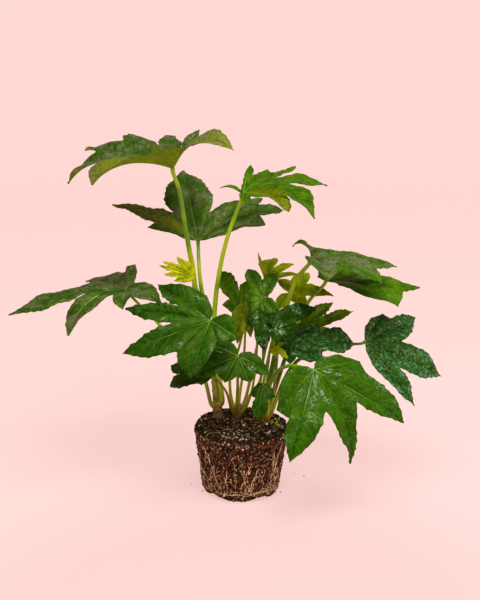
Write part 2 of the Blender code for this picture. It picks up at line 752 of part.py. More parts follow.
def add_surface_roots():
    """The net of roots that the pot's wall pressed flat, as one piece."""
    chance = random.Random(ROOT_SEED)
    ring = [root_knot(h, ring_height(h)) for h in range(0, 360, RING_STEP)]
    net = add_root("surface_roots", ring, loop=True)
    tubes = bpy.data.collections.new("roots")
    bpy.context.scene.collection.children.link(tubes)
    for k in range(ROOT_COUNT):
        heading = 360 * k / ROOT_COUNT + chance.uniform(-ROOT_STRAY, ROOT_STRAY)
        top = chance.uniform(*ROOT_TOP)
        for fork in range(chance.choice(ROOT_FORKS)):
            path = root_path(heading, top * (chance.uniform(*FORK_TOP) if fork else 1), chance)
            if len(path) > 2:
                tube = add_root(f"root_{k}_{fork}", path)
                bpy.context.scene.collection.objects.unlink(tube)
                tubes.objects.link(tube)
    join = net.modifiers.new("net", "BOOLEAN")
    join.operation = "UNION"
    join.solver = "EXACT"
    join.operand_type = "COLLECTION"
    join.collection = tubes
    apply_modifiers(net)
    for tube in list(tubes.objects):
        bpy.data.objects.remove(tube, do_unlink=True)
    bpy.data.collections.remove(tubes)
    return net


def main():
    for made in list(bpy.data.objects):
        bpy.data.objects.remove(made, do_unlink=True)
    add_root_ball()
    add_surface_roots()
    for name, knots in STEMS.items():
        add_stem(f"stem_{name}", knots)
    for name, leaf in LEAVES.items():
        young = name == "young"
        add_blade(f"leaf_{name}", leaf.blade, YOUNG if young else LEAF)
        add_stalk(f"stalk_{name}", leaf.blade, leaf.stalk, YOUNG if young else STALK)


main()
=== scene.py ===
"""Looks of a young fatsia japonica on a bare root ball, modelled round its packed frame.

Metres, +Z up, origin at the middle of the root ball's base. +X is to the right and +Y away from the
side that faces the viewer. Compass headings are degrees anticlockwise from +X, seen from above.
"""

import math
import random
from typing import NamedTuple

import bmesh
import bpy
import numpy as np
from bpy.props import FloatProperty, FloatVectorProperty, IntProperty, PointerProperty
from mathutils import Matrix, Vector, geometry, noise
from mathutils.bvhtree import BVHTree


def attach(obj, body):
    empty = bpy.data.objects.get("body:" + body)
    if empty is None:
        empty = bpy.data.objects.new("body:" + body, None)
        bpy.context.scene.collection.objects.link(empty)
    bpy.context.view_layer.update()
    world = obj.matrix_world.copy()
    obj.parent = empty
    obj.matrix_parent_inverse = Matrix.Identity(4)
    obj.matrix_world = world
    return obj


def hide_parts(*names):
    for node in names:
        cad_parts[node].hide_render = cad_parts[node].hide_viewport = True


bl_info = {
    "name": "Fatsia Japonica on a Root Ball",
    "version": (1, 0, 0),
    "blender": (4, 5, 0),
    "location": "View3D > Sidebar > Fatsia",
    "description": "Models the leaves, stalks, soil and roots of a young fatsia and the stage it stands on",
    "category": "Add Mesh",
}

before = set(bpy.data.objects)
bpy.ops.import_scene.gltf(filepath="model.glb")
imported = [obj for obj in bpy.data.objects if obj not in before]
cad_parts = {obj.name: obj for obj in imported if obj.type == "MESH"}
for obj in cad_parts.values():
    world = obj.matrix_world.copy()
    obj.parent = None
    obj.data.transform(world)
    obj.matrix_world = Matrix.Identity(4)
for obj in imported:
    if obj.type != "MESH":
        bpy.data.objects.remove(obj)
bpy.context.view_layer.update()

MM = 0.001
WELD = 0.02 * MM  # points closer than this are one

# leaf blades, shared with the frame
SPINE_STEPS = 40  # integration steps along a lobe's midrib
CURL_POWER = 1.4  # how late along the lobe the curl sets in
EAR_REACH = 0.13  # how far out the rounded base of an outermost lobe starts, of its length
EAR_CLEARANCE = 4  # degrees that two outermost lobes leave open behind the stalk, each
INNER_FULLNESS = 4.2  # bulge of a lobe's edge beyond a notch, of its half-width at the notch
INNER_LATENESS = 1.5  # how late that bulge sets in, so that the notches stay open
WIDEST_START = 0.17  # half-width at a notch from which the bulge grows no more, of the lobe's length
OUTER_LEAD = 0.5  # how much sooner an outer edge bulges
OUTER_FULLNESS = 0.75  # bulge of the outer edge of an outermost lobe
EDGE_POWER = 1.4  # how fast a lobe narrows towards its tip

# mesh of a lobe
WEB_ROWS = 8  # rows of faces between the stalk and the notches
TOOTH_ROWS = 3  # rows of faces to a tooth
HALF_COLUMNS = 8  # columns of faces between the midrib and the edge
COARSE_TEETH = 3  # slow waves of the edge, under the teeth
TOOTH_PEAK = 0.7  # where along a tooth its point stands
FULL_TEETH = 90  # length in millimetres of a lobe from which its teeth have their full height
FULL_WAVE = 80  # length in millimetres of a lobe from which its edge waves fully
RIB_SHARE = 0.3  # widest that a half midrib gets, of the half lobe's width
RIB_TAPER = 0.7  # how fast a midrib flattens towards the lobe's tip
QUILT_WIDTHS = (4 * MM, 14 * MM)  # half-widths of a lobe between which the quilting sets in
STILL_REACH = 25 * MM  # distance from the stalk's end at which a blade's swell is full

# stems and stalks
ELBOW = 10 * MM  # longest handle where a stalk leaves its stem or meets its blade
FOOT_SINK = 0.55  # how far from its stem's axis a stalk starts, of the stem's radius
TOP_SINK = 2 * MM  # how deep a stalk that carries on from a stem starts in it
HEAD_SINK = 0.5  # how deep a stalk ends under its blade's upper side, of the midrib's height
FLARE_REACH = 9 * MM  # length of a stalk's wide foot
NECK_REACH = 6 * MM  # length of its swollen neck
ROUTE_STEPS = 14  # pieces between two knots of a curved tube
STOUT_RADIUS = 2.4 * MM  # stalks thicker than this are drawn thicker yet, and thinner ones thinner
STEM_SIDES = 20
STALK_SIDES = 12
STEM_SCARS = {  # heights at which a leaf is or was joined, in millimetres
    "left": (97, 104, 113, 121, 132, 150, 165, 180, 194, 208, 222, 231),
    "middle": (91, 95, 99),
    "right": (90, 94, 99),
}
SCAR_SWELL = 0.16  # how much thicker a stem is at a scar
SCAR_WIDTH = 1.6  # millimetres
WOODY_SWELL = 0.22  # how much thicker its foot is
WOODY_FOOT = (86, 9)  # height of that foot and how far it reaches up, millimetres

# root ball, moulded by a 12 cm nursery pot
BALL_PROFILE = (  # radius and height in millimetres, from the base's edge to near the middle of the top
    (34, 0), (42, 0), (44, 2), (45.8, 10), (47.8, 22), (50, 36), (52.2, 50), (54.2, 64),
    (56.6, 77), (57.8, 84), (56, 87), (48, 87), (38, 86.5), (27, 86.2), (15, 86), (6, 86),
)
BALL_RIM = 84  # height of the rim in millimetres
BALL_ROWS = 36
BALL_SIDES = 84
BASE_EDGE = (34, 44)  # radii between which the drain notches lift the base, millimetres
BASE_NOTCHES = (38, 130, 223, 306)  # headings of the pot's drain notches in the base edge, degrees
NOTCH_HALF_ANGLE = 18  # degrees
NOTCH_RISE = 6 * MM
LIFTED_BASE = 3 * MM  # height up to which the base's points are lifted
BASE_OVAL = 0.05  # how much wider than round the ball's base is from side to side, and narrower across

TOP_REACH = 54  # radius of the top that grains and fibres lie on, millimetres
SIDE_REACH = (3, 82)  # heights of the side that they lie on, millimetres

# roots on the side of the ball, drawn as in the frame
ROOT_SEED = 11
ROOT_COUNT = 16
RING_HEIGHT = 12  # millimetres above the floor, where the roots run together
RING_STEP = 8  # degrees between two knots of the ring
ROOT_STEP = 2.2  # millimetres between two rings of faces of a root
DEGREE_REACH = 0.9  # millimetres round the side of the ball to a degree
LOWEST_ROOT = 1.5  # millimetres above the floor
FIBRE_STEPS = 5  # bends of a fibre
FINE_KNOTS = 6  # bends of a fine root
ROOT_BUNDLES = (80, 200, 320)  # headings that the fine roots crowd round, degrees
BUNDLE_SPREAD = 30  # degrees
RING_ROOTS = 5  # roots that run along the ring near the base
RING_KNOTS = 8  # bends of such a root

# perlite, loose peat and sprouts, millimetres
PERLITE_ON_TOP = 0.72  # share of the grains
RIM_CRUMBS = 260  # crumbs that roughen the rim of the ball
RIM_HEIGHTS = (79, 84.5)
FLOOR_CRUMBS = ((69, 38), (81, 30), (-48, -12), (49, -15), (-62, 6))  # places on the floor
SPROUTS = (  # place on the top of the ball, and length
    (6, 12, 5), (1, 3, 4), (43, -6, 7), (47, 9, 5), (37, -3, 6), (20, 14, 5),
)
SPROUT_SHAPE = ((-0.2, 0.8), (0.2, 1.0), (0.55, 0.85), (0.85, 0.5), (1.0, 0.15))  # along and girth

# secondary veins, which leave the midrib at about 50 degrees and bend towards the tip
VEIN_SLANT = 0.84  # lead towards the tip, for each metre of distance from the midrib
VEIN_BEND = 7.0  # extra lead, for each square metre
VEIN_WANDER = 1.5 * MM  # how far a vein strays from its even place
VEIN_WANDER_RATE = 95  # how fast it strays, in radians for each metre along the midrib
MAP_SCALE = 100  # the vein map gives the distance from the midrib in centimetres

# stage
FLOOR_PROFILE = (  # radius and height, metres
    (0, 0), (0.3, 0), (1.0, 0), (2.2, 0), (3.4, 0), (4.2, 0.12), (4.8, 0.5), (5.2, 1.2), (5.3, 2.2),
)
FLOOR_SIDES = 96
PAINTED_SHADE_SPOT = (0, -0.35, 0)  # middle of the floor's dimmest glow, a painted shade in front of the ball
FLOOR_GLOW_AND_SHADE = (  # metres from that place, and share of the floor's colour; the dimmer glow near it is painted shade
    (0.24, 0.665), (0.40, 0.775), (0.68, 0.80), (1.25, 0.83), (3.4, 0.90),
)
LIGHT_AIM = (0, 0, 0.22)  # the point that the lights face
KEY_PLACE = (0.10, -0.80, 1.85)
KEY_SIZE = 1.1  # metres across
FILL_PLACE = (1.7, -0.6, 1.2)
FILL_SIZE = 1.6
CAMERA_ASIDE = -1.2 * MM  # how far right of the middle the camera stands
LEAF_SHINE = (0.88, 1.0, 0.40, 1.0)  # colour of the light that a blade reflects

# depth of the shadows: linear light in and out, for each colour
RED_DEPTH = ((0.03, 0.020), (0.15, 0.135), (0.5, 0.5))
GREEN_DEPTH = ((0.03, 0.020), (0.15, 0.14), (0.5, 0.5))
BLUE_DEPTH = ((0.03, 0.015), (0.10, 0.078), (0.3, 0.29))


class Tone(NamedTuple):
    """How the upper side of a blade looks. The colours are named after the settings that hold them."""

    colour: str
    patch: str  # colour of its larger patches
    share: float  # how far the patches go towards that colour
    gloss: float  # roughness where it is smoothest
    spread: float  # how much rougher it is elsewhere
    shine: float  # strength of its reflections
    crinkle: float  # height of its fine crinkles in millimetres
    wet: float = 0.0  # strength of the film of water where it is wet: a clear coat, and a painted pale sheen
    painted_glint: float = 0.25  # how strongly glints are painted pale on the crinkles' crests
    under: float = 1.0  # painted light on its under side: how much brighter than usual it is
    veins: float = 1.0  # how clearly its midribs and veins show
    passing: float = 1.0  # how much more light than usual passes through it
    rim_wet: float = 0.0  # how far its wet places keep to the edges of its lobes


# The dusty patches paint a grey sheen, with a little grey bloom, on the grey and tan blades.
TONES = {
    "green": Tone("green", "deep", 0.6, 0.32, 0.12, 0.24, 0.6, wet=0.3, veins=0.85),
    "grey": Tone("grey", "dusty", 0.75, 0.42, 0.12, 0.4, 0.5, painted_glint=0.2, under=1.5, veins=0.6),
    "tan": Tone("fresh", "dusty", 0.85, 0.40, 0.12, 0.4, 0.4, painted_glint=0.8, veins=0.6, passing=1.5),
    # a pale tone that paints light on a blade lying in shade
    "bright": Tone("underside", "vein", 0.45, 0.40, 0.12, 0.25, 0.4, veins=0.5, passing=1.5),
    "fresh": Tone("fresh", "underside", 0.5, 0.38, 0.12, 0.24, 0.4, veins=0.7),
    # the olive blades lie in shade at the back; their pale colour and brighter under side paint light on them
    "olive": Tone("olive", "fresh", 0.35, 0.40, 0.12, 0.25, 0.4, veins=0.4, under=3.0, passing=2.0),
    "glossy": Tone("glossy", "deep", 0.5, 0.26, 0.10, 0.3, 0.5, wet=0.3, veins=0.4),
    "deep": Tone("deep", "green", 0.3, 0.24, 0.14, 0.14, 0.5, wet=0.8, painted_glint=0.1, veins=0.15, passing=0.3),
    "dull": Tone("dull", "olive", 0.4, 0.42, 0.10, 0.24, 0.4, veins=0.5),
    "wet": Tone("wet", "fresh", 0.4, 0.36, 0.14, 0.24, 0.9, wet=0.8, rim_wet=0.6),
    # the pitted blades' blue patches and their glints are a painted bluish sheen
    "pitted": Tone("pitted", "bloom", 0.15, 0.28, 0.14, 0.3, 1.2, wet=0.6, painted_glint=0.8),
    "young": Tone("young", "young", 0.0, 0.45, 0.10, 0.28, 0.1, painted_glint=0.1, veins=0.0, passing=1.5),
}


class Lobe(NamedTuple):
    """One lobe of a blade. heading is measured in the blade's own plane, before it leans."""

    heading: float  # degrees
    length: float  # millimetres along the midrib
    width: float = 1.0  # fullness of the free part
    rise: float = None  # degrees that the midrib climbs where it leaves the stalk; None takes the blade's
    curl: float = None  # degrees that the midrib bends down by its tip; None takes the blade's
    twist: float = 0.0  # degrees that the lobe turns about its midrib by its tip
    sweep: float = 0.0  # degrees that the midrib turns sideways by its tip
    fold: float = None  # degrees that each half is raised from the midrib; None takes the blade's
    notch: float = None  # how far out the notch after it lies, as the blade's cut; None takes the blade's
    late: float = INNER_LATENESS  # how late its edge bulges beyond a notch


class Blade(NamedTuple):
    """A palmate blade. joint is where the stalk meets it, in millimetres."""

    joint: tuple
    lean: tuple  # (heading that the upper side leans towards, degrees of lean)
    lobes: tuple
    rise: float = 12.0
    curl: float = 35.0
    fold: float = 10.0
    cut: float = 0.50  # how far out the notches between lobes lie, of the lobes' mean length
    pleat: float = 4.0  # degrees that the web between two lobes rises above their midribs
    ear: float = 72.0  # widest angle from an outermost lobe's midrib to its rounded base, degrees


class Stalk(NamedTuple):
    """A leaf stalk, which leaves its stem in a compass heading at a height."""

    stem: str
    heading: float  # degrees; None where it carries on from the top of the stem
    height: float  # millimetres
    via: tuple  # points that it passes, in millimetres
    foot: float  # radius at the stem, millimetres
    neck: float  # radius at the blade, millimetres


class Leaf(NamedTuple):
    """A blade, the stalk that carries it, and the tone of green that the blade has."""

    blade: Blade
    stalk: Stalk
    tone: str = "green"
    pale: tuple = ()  # numbers of the lobes that are as pale as the under side; on the grey blades they carry much of the painted grey sheen


# knots of each stem: x, y, z and radius in millimetres, the first two in a plain hole in the soil
STEMS = {
    "left": (
        (-29, 22, 74.3, 5.6),
        (-29, 22, 92, 5.6),
        (-30, 23, 108, 5.0),
        (-34, 27, 150, 4.5),
        (-41, 32, 190, 4.2),
        (-47, 40, 234, 3.6),
    ),
    "middle": ((-3, 24, 74.3, 5.4), (-3, 24, 92, 5.4), (-3, 24, 102, 4.6)),
    "right": ((29, 2, 74.3, 5.4), (29, 2, 92, 5.4), (29, 2, 102, 4.6)),
}

LEAVES = {
    # the left plant
    "top_left": Leaf(
        Blade((-80, 20, 400), (180, 0), (
            Lobe(-20, 91, width=1.1, rise=58, curl=100, twist=35),
            Lobe(52, 64, rise=44, curl=15),
            Lobe(95, 108, width=0.8, rise=19, curl=15, notch=0.55),
            Lobe(128, 102, width=0.5, rise=21, curl=10, notch=0.75),
            Lobe(150, 130, width=0.6, rise=13, curl=18, notch=0.75),
            Lobe(170, 141, width=0.45, rise=20, curl=72, notch=0.75),
            Lobe(200, 104, width=1.2, rise=20, curl=70),
            Lobe(262, 74, rise=44, curl=50),
        ), rise=30, curl=60, fold=18, cut=0.42),
        Stalk("left", 175, 224, ((-60, 36, 283), (-67, 30, 330), (-73, 24, 373)), 3, 2.2),
        "grey",
        (0, 6),
    ),
    "back_high": Leaf(
        Blade((-53, 60, 304), (270, 36), (
            Lobe(12, 87, width=0.2, rise=22, curl=38, notch=0.77),
            Lobe(30, 129, width=0.9, curl=45, notch=0.75),
            Lobe(41, 107, width=0.5, notch=0.35),
            Lobe(102, 134, width=0.7, curl=40, sweep=-4, late=0.8),
            Lobe(158, 126, width=0.3, sweep=-12, notch=0.6),
            Lobe(168, 66, width=0.2, rise=22, curl=40, sweep=-4),
        ), rise=14, curl=30, cut=0.38, ear=24),
        Stalk("left", None, 234, ((-51, 46, 268),), 2.6, 2),
        "grey",
        (4,),
    ),
    "top_right": Leaf(
        Blade((2, 0, 373), (285, 12), (
            Lobe(-85, 24, rise=5, curl=40),
            Lobe(-53, 86, rise=24, curl=46, notch=0.75),
            Lobe(-42, 116, width=1.3, rise=34, curl=80, twist=-15, notch=0.55),
            Lobe(2, 101, rise=28, curl=50),
            Lobe(42, 87, width=0.6, rise=18, curl=20, notch=0.55),
            Lobe(62, 66, rise=12, curl=10, notch=0.6),
            Lobe(82, 56, width=0.9, rise=20, curl=10, notch=0.12),
            Lobe(160, 31, rise=32, curl=70),
        ), rise=16, curl=45, cut=0.42),
        Stalk("left", 340, 104, ((-33, 18, 182), (-32, 15, 225), (-26.5, 12, 272), (-15.5, 7, 321)), 3, 2.2),
        "fresh",
        (1,),
    ),
    "left": Leaf(
        Blade((-137, 10, 257), (225, 12), (
            Lobe(-34, 54, width=2.2, rise=4, curl=50, notch=0.25),
            Lobe(66, 35, width=1.4, rise=37, curl=10),
            Lobe(125, 115, rise=-7, curl=8),
            Lobe(157, 116, width=0.8, rise=-2, curl=15),
            Lobe(195, 143, width=1.2, rise=13, curl=30, twist=-22, fold=-14),
            Lobe(225, 103, width=1.6, rise=16, curl=70),
            Lobe(268, 49, width=1.2, rise=9),
        ), rise=8, curl=40, cut=0.42),
        Stalk("left", 205, 101, ((-47, 16, 143), (-75, 19, 180), (-105, 15, 216)), 2.4, 1.8),
        "grey",
    ),
    "front_left": Leaf(
        Blade((-35, -60, 237), (262, 50), (
            Lobe(138, 82, width=1.15, notch=0.44),
            Lobe(165, 103, width=0.85, notch=0.42),
            Lobe(198, 107, width=0.8, sweep=-4, notch=0.6),
            Lobe(249, 72),
            Lobe(322, 40, width=2.4),
        ), rise=6, curl=22, ear=70),
        Stalk("left", 245, 165, (), 2.4, 1.9),
    ),
    "low_left": Leaf(
        Blade((-35, -20, 158), (240, 45), (
            Lobe(148, 61),
            Lobe(177, 56),
            Lobe(213, 18),
        ), rise=6, curl=22, cut=0.7),
        Stalk("middle", 205, 92, ((-19, 5, 128),), 2, 1.5),
    ),
    "young": Leaf(
        Blade((-55, 0, 274), (270, 70), (
            Lobe(132, 31),
            Lobe(156, 41),
            Lobe(163, 44),
            Lobe(177, 36),
            Lobe(194, 25),
        ), rise=5, curl=10),
        Stalk("left", 262, 222, (), 1.6, 1.1),
        "young",
    ),
    # the middle plant
    "front_low": Leaf(
        Blade((-4, -45, 190), (275, 50), (
            Lobe(157, 49),
            Lobe(209, 57),
            Lobe(246, 36),
            Lobe(296, 36),
            Lobe(335, 43, width=1.2),
        ), rise=6, curl=25, cut=0.7),
        Stalk("middle", 250, 94, ((-4, -10, 141),), 2.2, 1.7),
    ),
    "back_left": Leaf(
        Blade((6, 55, 212), (265, 45), (
            Lobe(57, 47),
            Lobe(87, 50),
            Lobe(117, 78, width=1.5),
            Lobe(154, 33),
        ), rise=8, curl=25),
        Stalk("middle", 135, 95, ((-14, 36, 132), (-2, 46, 172)), 2.2, 1.6),
        "fresh",
    ),
    "top_middle": Leaf(
        Blade((33, 50, 251), (200, 15), (
            Lobe(-5, 42, rise=30),
            Lobe(30, 46, width=1.2, rise=38),
            Lobe(76, 53, width=1.5, rise=44, curl=64),
            Lobe(150, 42, width=0.3, rise=85, curl=0, notch=0.2),
        ), rise=50, curl=60),
        Stalk("middle", 40, 97, ((19, 40, 169),), 2.2, 1.6),
        "olive",
    ),
    "middle": Leaf(
        Blade((25, -10, 250), (255, 50), (
            Lobe(58, 43),
            Lobe(108, 50),
            Lobe(155, 24),
            Lobe(241, 29),
            Lobe(306, 35),
        ), rise=8, curl=45),
        Stalk("middle", 345, 95, ((12, 18, 118), (23, 13, 137), (27, 4, 185)), 2.2, 1.6),
        "glossy",
    ),
    "inner_dark": Leaf(
        Blade((19, -35, 240), (270, 60), (
            Lobe(231, 20),
            Lobe(280, 46, width=1.3),
            Lobe(334, 26),
        ), rise=8, curl=40),
        Stalk("middle", 300, 93, ((11, 3, 120),), 2, 1.5),
        "deep",
    ),
    "hanging": Leaf(
        Blade((6, 30, 233), (270, 55), (
            Lobe(258, 53, width=1.2),
            Lobe(278, 45),
        ), rise=8, curl=35),
        Stalk("middle", None, 102, ((2, 31, 140), (5, 38, 185)), 2, 1.5),
        "dull",
    ),
    # the right plant
    "back_right": Leaf(
        Blade((61, 50, 240), (280, 20), (
            Lobe(-125, 35, rise=-1),
            Lobe(-55, 33, rise=9),
            Lobe(-10, 55, rise=24),
            Lobe(50, 40, rise=37),
            Lobe(130, 28, rise=27),
        ), rise=15, curl=45),
        Stalk("right", 130, 99, ((40, 65, 174),), 2.2, 1.6),
        "olive",
    ),
    "right_high": Leaf(
        Blade((83, -10, 299), (300, 18), (
            Lobe(-77, 63, width=1.3, rise=25, curl=50),
            Lobe(-32, 93, width=1.3, rise=23, curl=45),
            Lobe(-2, 100, width=0.7, rise=12, curl=22, fold=-15),
            Lobe(36, 82, width=0.7, rise=-4, curl=10, fold=-8),
            Lobe(80, 38, rise=-4, curl=10),
            Lobe(165, 35, rise=76, curl=150),
        ), rise=10, curl=40, cut=0.55, ear=55),
        Stalk("right", None, 102, ((43, 16, 177), (55, 10, 233), (65, 0, 269)), 3, 2.3),
        "tan",
    ),
    "right_mid": Leaf(
        Blade((104, 35, 260), (290, 26), (
            Lobe(-42, 110, width=2.0, rise=34, curl=42, notch=0.75, late=2.2),
            Lobe(-12, 114, width=0.6, rise=23, curl=24, fold=-10),
            Lobe(28, 72, width=1.2, rise=3, curl=10),
            Lobe(75, 78, rise=-5),
            Lobe(165, 11, rise=18),
        ), rise=5, curl=30, cut=0.55, ear=35),
        Stalk("right", 54, 99, ((60, 22, 181), (81, 18, 236)), 2.6, 2),
        "fresh",
    ),
    "right_inner": Leaf(
        Blade((45, -10, 192), (280, 45), (
            Lobe(-57, 28),
            Lobe(-13, 57),
            Lobe(11, 100, width=2.1),
            Lobe(36, 61),
        ), rise=6, curl=30, cut=0.62),
        Stalk("right", 336, 99, (), 2.2, 1.6),
        "pitted",
    ),
    "right_back": Leaf(
        Blade((63, 35, 186), (278, 38), (
            Lobe(14, 59),
            Lobe(34, 98, width=1.1),
            Lobe(50, 87, width=0.7, notch=0.7),
            Lobe(72, 49),
            Lobe(132, 37),
        ), rise=8, curl=30),
        Stalk("right", 93, 93, (), 2.2, 1.6),
        "bright",
    ),
    "far_right": Leaf(
        Blade((150, 5, 191), (295, 50), (
            Lobe(-46, 98, width=0.6, sweep=12),
            Lobe(-12, 111, sweep=12, notch=0.47),
            Lobe(40, 90, width=0.75, notch=0.75),
            Lobe(66, 53),
        ), rise=6, curl=25, ear=35),
        Stalk("right", 16, 93, ((68, 14, 162), (104, 28, 173), (132, 29, 179)), 2.4, 1.8),
        "pitted",
    ),
    "front_right": Leaf(
        Blade((84, -60, 178), (280, 55), (
            Lobe(-128, 66, width=1.6, notch=0.7),
            Lobe(-101, 112, width=0.9, notch=0.44),
            Lobe(-45, 124, width=0.3, curl=60, twist=-30, sweep=-33),
            Lobe(-24, 122, width=0.7, notch=0.8),
            Lobe(18, 57),
        ), rise=8, curl=28),
        Stalk("right", 296, 94, ((36, -14, 146), (55, -38, 175)), 2.6, 2),
        "wet",
    ),
    "low_front": Leaf(
        Blade((26, -45, 155), (270, 60), (
            Lobe(220, 20),
            Lobe(260, 43, width=1.6),
            Lobe(312, 21),
        ), rise=6, curl=25, cut=0.6),
        Stalk("right", 204, 98, ((22, -20, 135),), 1.6, 1.2),
    ),
    "inner_glossy": Leaf(
        Blade((36, -40, 220), (285, 52), (
            Lobe(-70, 20),
            Lobe(16, 36),
            Lobe(38, 70),
            Lobe(129, 21),
        ), rise=8, curl=35),
        Stalk("right", 167, 93, ((25, -5, 156),), 2, 1.5),
        "deep",
    ),
    "low_inner": Leaf(
        Blade((35, -25, 195), (270, 40), (
            Lobe(-65, 18),
            Lobe(-36, 26),
            Lobe(22, 18),
        ), rise=10, curl=50),
        Stalk("right", 250, 93, (), 1.6, 1.2),
        "olive",
    ),
}


# shader sockets and nodes


class Wire:
    """A shader socket that can be written in sums, as a number can."""

    def __init__(self, finish, socket):
        self.finish = finish
        self.socket = socket

    def math(self, operation, *others):
        """The result of a sum of this socket and the others."""
        return self.finish.add("ShaderNodeMath", {"operation": operation}, [self, *others])

    def __add__(self, other):
        return self.math("ADD", other)

    __radd__ = __add__

    def __sub__(self, other):
        return self.math("SUBTRACT", other)

    def __rsub__(self, other):
        return self.finish.add("ShaderNodeMath", {"operation": "SUBTRACT"}, [other, self])

    def __mul__(self, other):
        return self.math("MULTIPLY", other)

    __rmul__ = __mul__

    def __truediv__(self, other):
        return self.math("DIVIDE", other)

    def __abs__(self):
        return self.math("ABSOLUTE")


class Finish:
    """A procedural material under construction. add() lays every node."""

    def __init__(self, name):
        self.material = bpy.data.materials.new(name)
        self.material.use_nodes = True
        self.tree = self.material.node_tree
        self.tree.nodes.clear()

    def add(self, kind, settings=None, sockets=(), output=0):
        """A node of this kind; settings are set first, then sockets by name or in order, values or wires."""
        node = self.tree.nodes.new(kind)
        for key, value in (settings or {}).items():
            if key == "stops":
                self._set_stops(node.color_ramp, value)
            else:
                setattr(node, key, value)
        pairs = sockets.items() if isinstance(sockets, dict) else enumerate(sockets)
        for key, value in pairs:
            if isinstance(value, Wire):
                self.tree.links.new(value.socket, node.inputs[key])
            elif value is not None:
                node.inputs[key].default_value = value
        return Wire(self, node.outputs[output])

    @staticmethod
    def _set_stops(ramp, stops):
        """Gives a colour ramp its (place, colour) stops."""
        while len(ramp.elements) < len(stops):
            ramp.elements.new(1.0)
        for element, (place, colour) in zip(ramp.elements, stops):
            element.position = place
            element.color = (*colour, 1.0)

    def place(self):
        """Object coordinates, in metres."""
        return self.add("ShaderNodeTexCoord", output="Object")

    def height(self):
        """Height above the floor, in metres."""
        return self.add("ShaderNodeSeparateXYZ", sockets=[self.place()], output="Z")

    def stretched(self, scale):
        """Object coordinates stretched by three factors."""
        return self.add("ShaderNodeMapping", sockets={"Vector": self.place(), "Scale": scale})

    def along_veins(self, scale, detail, stretch):
        """Noise in streaks that run along the secondary veins of a blade."""
        flat = self.add("ShaderNodeUVMap", {"uv_map": "veins"})
        streaks = self.add("ShaderNodeMapping", sockets={"Vector": flat, "Scale": (stretch, 1.0, 1.0)})
        return self.noise(scale, detail, streaks, 0.6)

    def map_parts(self, name):
        """The two numbers of a UV map."""
        found = self.add("ShaderNodeUVMap", {"uv_map": name})
        split = self.tree.nodes.new("ShaderNodeSeparateXYZ")
        self.tree.links.new(found.socket, split.inputs[0])
        return Wire(self, split.outputs["X"]), Wire(self, split.outputs["Y"])

    def noise(self, scale, detail=2.0, vector=None, roughness=0.5):
        """Soft noise from 0 to 1, scale to the metre."""
        sockets = {"Vector": vector or self.place(), "Scale": scale, "Detail": detail, "Roughness": roughness}
        return self.add("ShaderNodeTexNoise", sockets=sockets)

    def cells(self, scale, feature="DISTANCE_TO_EDGE", output="Distance", vector=None):
        """Voronoi cells, scale to the metre."""
        sockets = {"Vector": vector or self.place(), "Scale": scale}
        return self.add("ShaderNodeTexVoronoi", {"feature": feature}, sockets, output)

    def step(self, value, low, high):
        """0 below low, 1 above high, smooth between."""
        sockets = {"Value": value, "From Min": low, "From Max": high}
        return self.add("ShaderNodeMapRange", {"interpolation_type": "SMOOTHSTEP"}, sockets)

    def mix(self, share, first, second):
        """The first colour, turning into the second as share goes from 0 to 1."""
        colours = [c if isinstance(c, Wire) else (*c, 1.0) for c in (first, second)]
        sockets = {0: share, 6: colours[0], 7: colours[1]}
        return self.add("ShaderNodeMix", {"data_type": "RGBA"}, sockets, 2)

    def ramp(self, value, stops):
        """A colour read off a ramp."""
        return self.add("ShaderNodeValToRGB", {"stops": stops}, [value])

    def bump(self, height_mm):
        """A surface normal from a height in millimetres."""
        return self.add("ShaderNodeBump", sockets={"Strength": 1.0, "Distance": MM, "Height": height_mm})

    def surface(self, through=None, glow=0.0, **sockets):
        """The material, from Principled sockets.

        through is the colour of the light that a thin sheet lets pass, and glow its share.
        """
        named = {key.replace("_", " "): value for key, value in sockets.items()}
        shader = self.add("ShaderNodeBsdfPrincipled", sockets=named)
        if through is not None:
            behind = self.add("ShaderNodeBsdfTranslucent", sockets={"Color": (*through, 1.0)})
            shader = self.add("ShaderNodeMixShader", sockets=[glow, shader, behind])
        self.add_output(shader)
        return self.material

    def tint(self):
        """The number from 0 to 1 that each scattered grain has of its own."""
        return self.add("ShaderNodeAttribute", {"attribute_name": "tint"}, output="Fac")

    def add_output(self, shader):
        """Makes the shader the surface of the material."""
        output = self.tree.nodes.new("ShaderNodeOutputMaterial")
        self.tree.links.new(shader.socket, output.inputs["Surface"])


def shade(colour, factor):
    """A colour made darker or lighter."""
    return tuple(c * factor for c in colour)


# finishes


def vein_marks(finish, settings):
    """Masks of the midribs and secondary veins, and how far from a secondary vein a point is, 0 to 1."""
    lead, away = finish.map_parts("veins")
    share, _ = finish.map_parts("lobe")
    away = abs(away)
    rib_width = settings.rib_width * MAP_SCALE * (1.05 - share)
    rib = (1 - finish.step(away / rib_width, 0.3, 0.7)) * (1 - finish.step(share, 0.3, 0.95) * 0.75)
    off = abs(lead.math("FRACT") - 0.5) * 2
    fade = 1 - finish.step(away, 1.0, 2.4)
    line = finish.step(off, 0.9, 0.99) * fade
    return rib, line, off


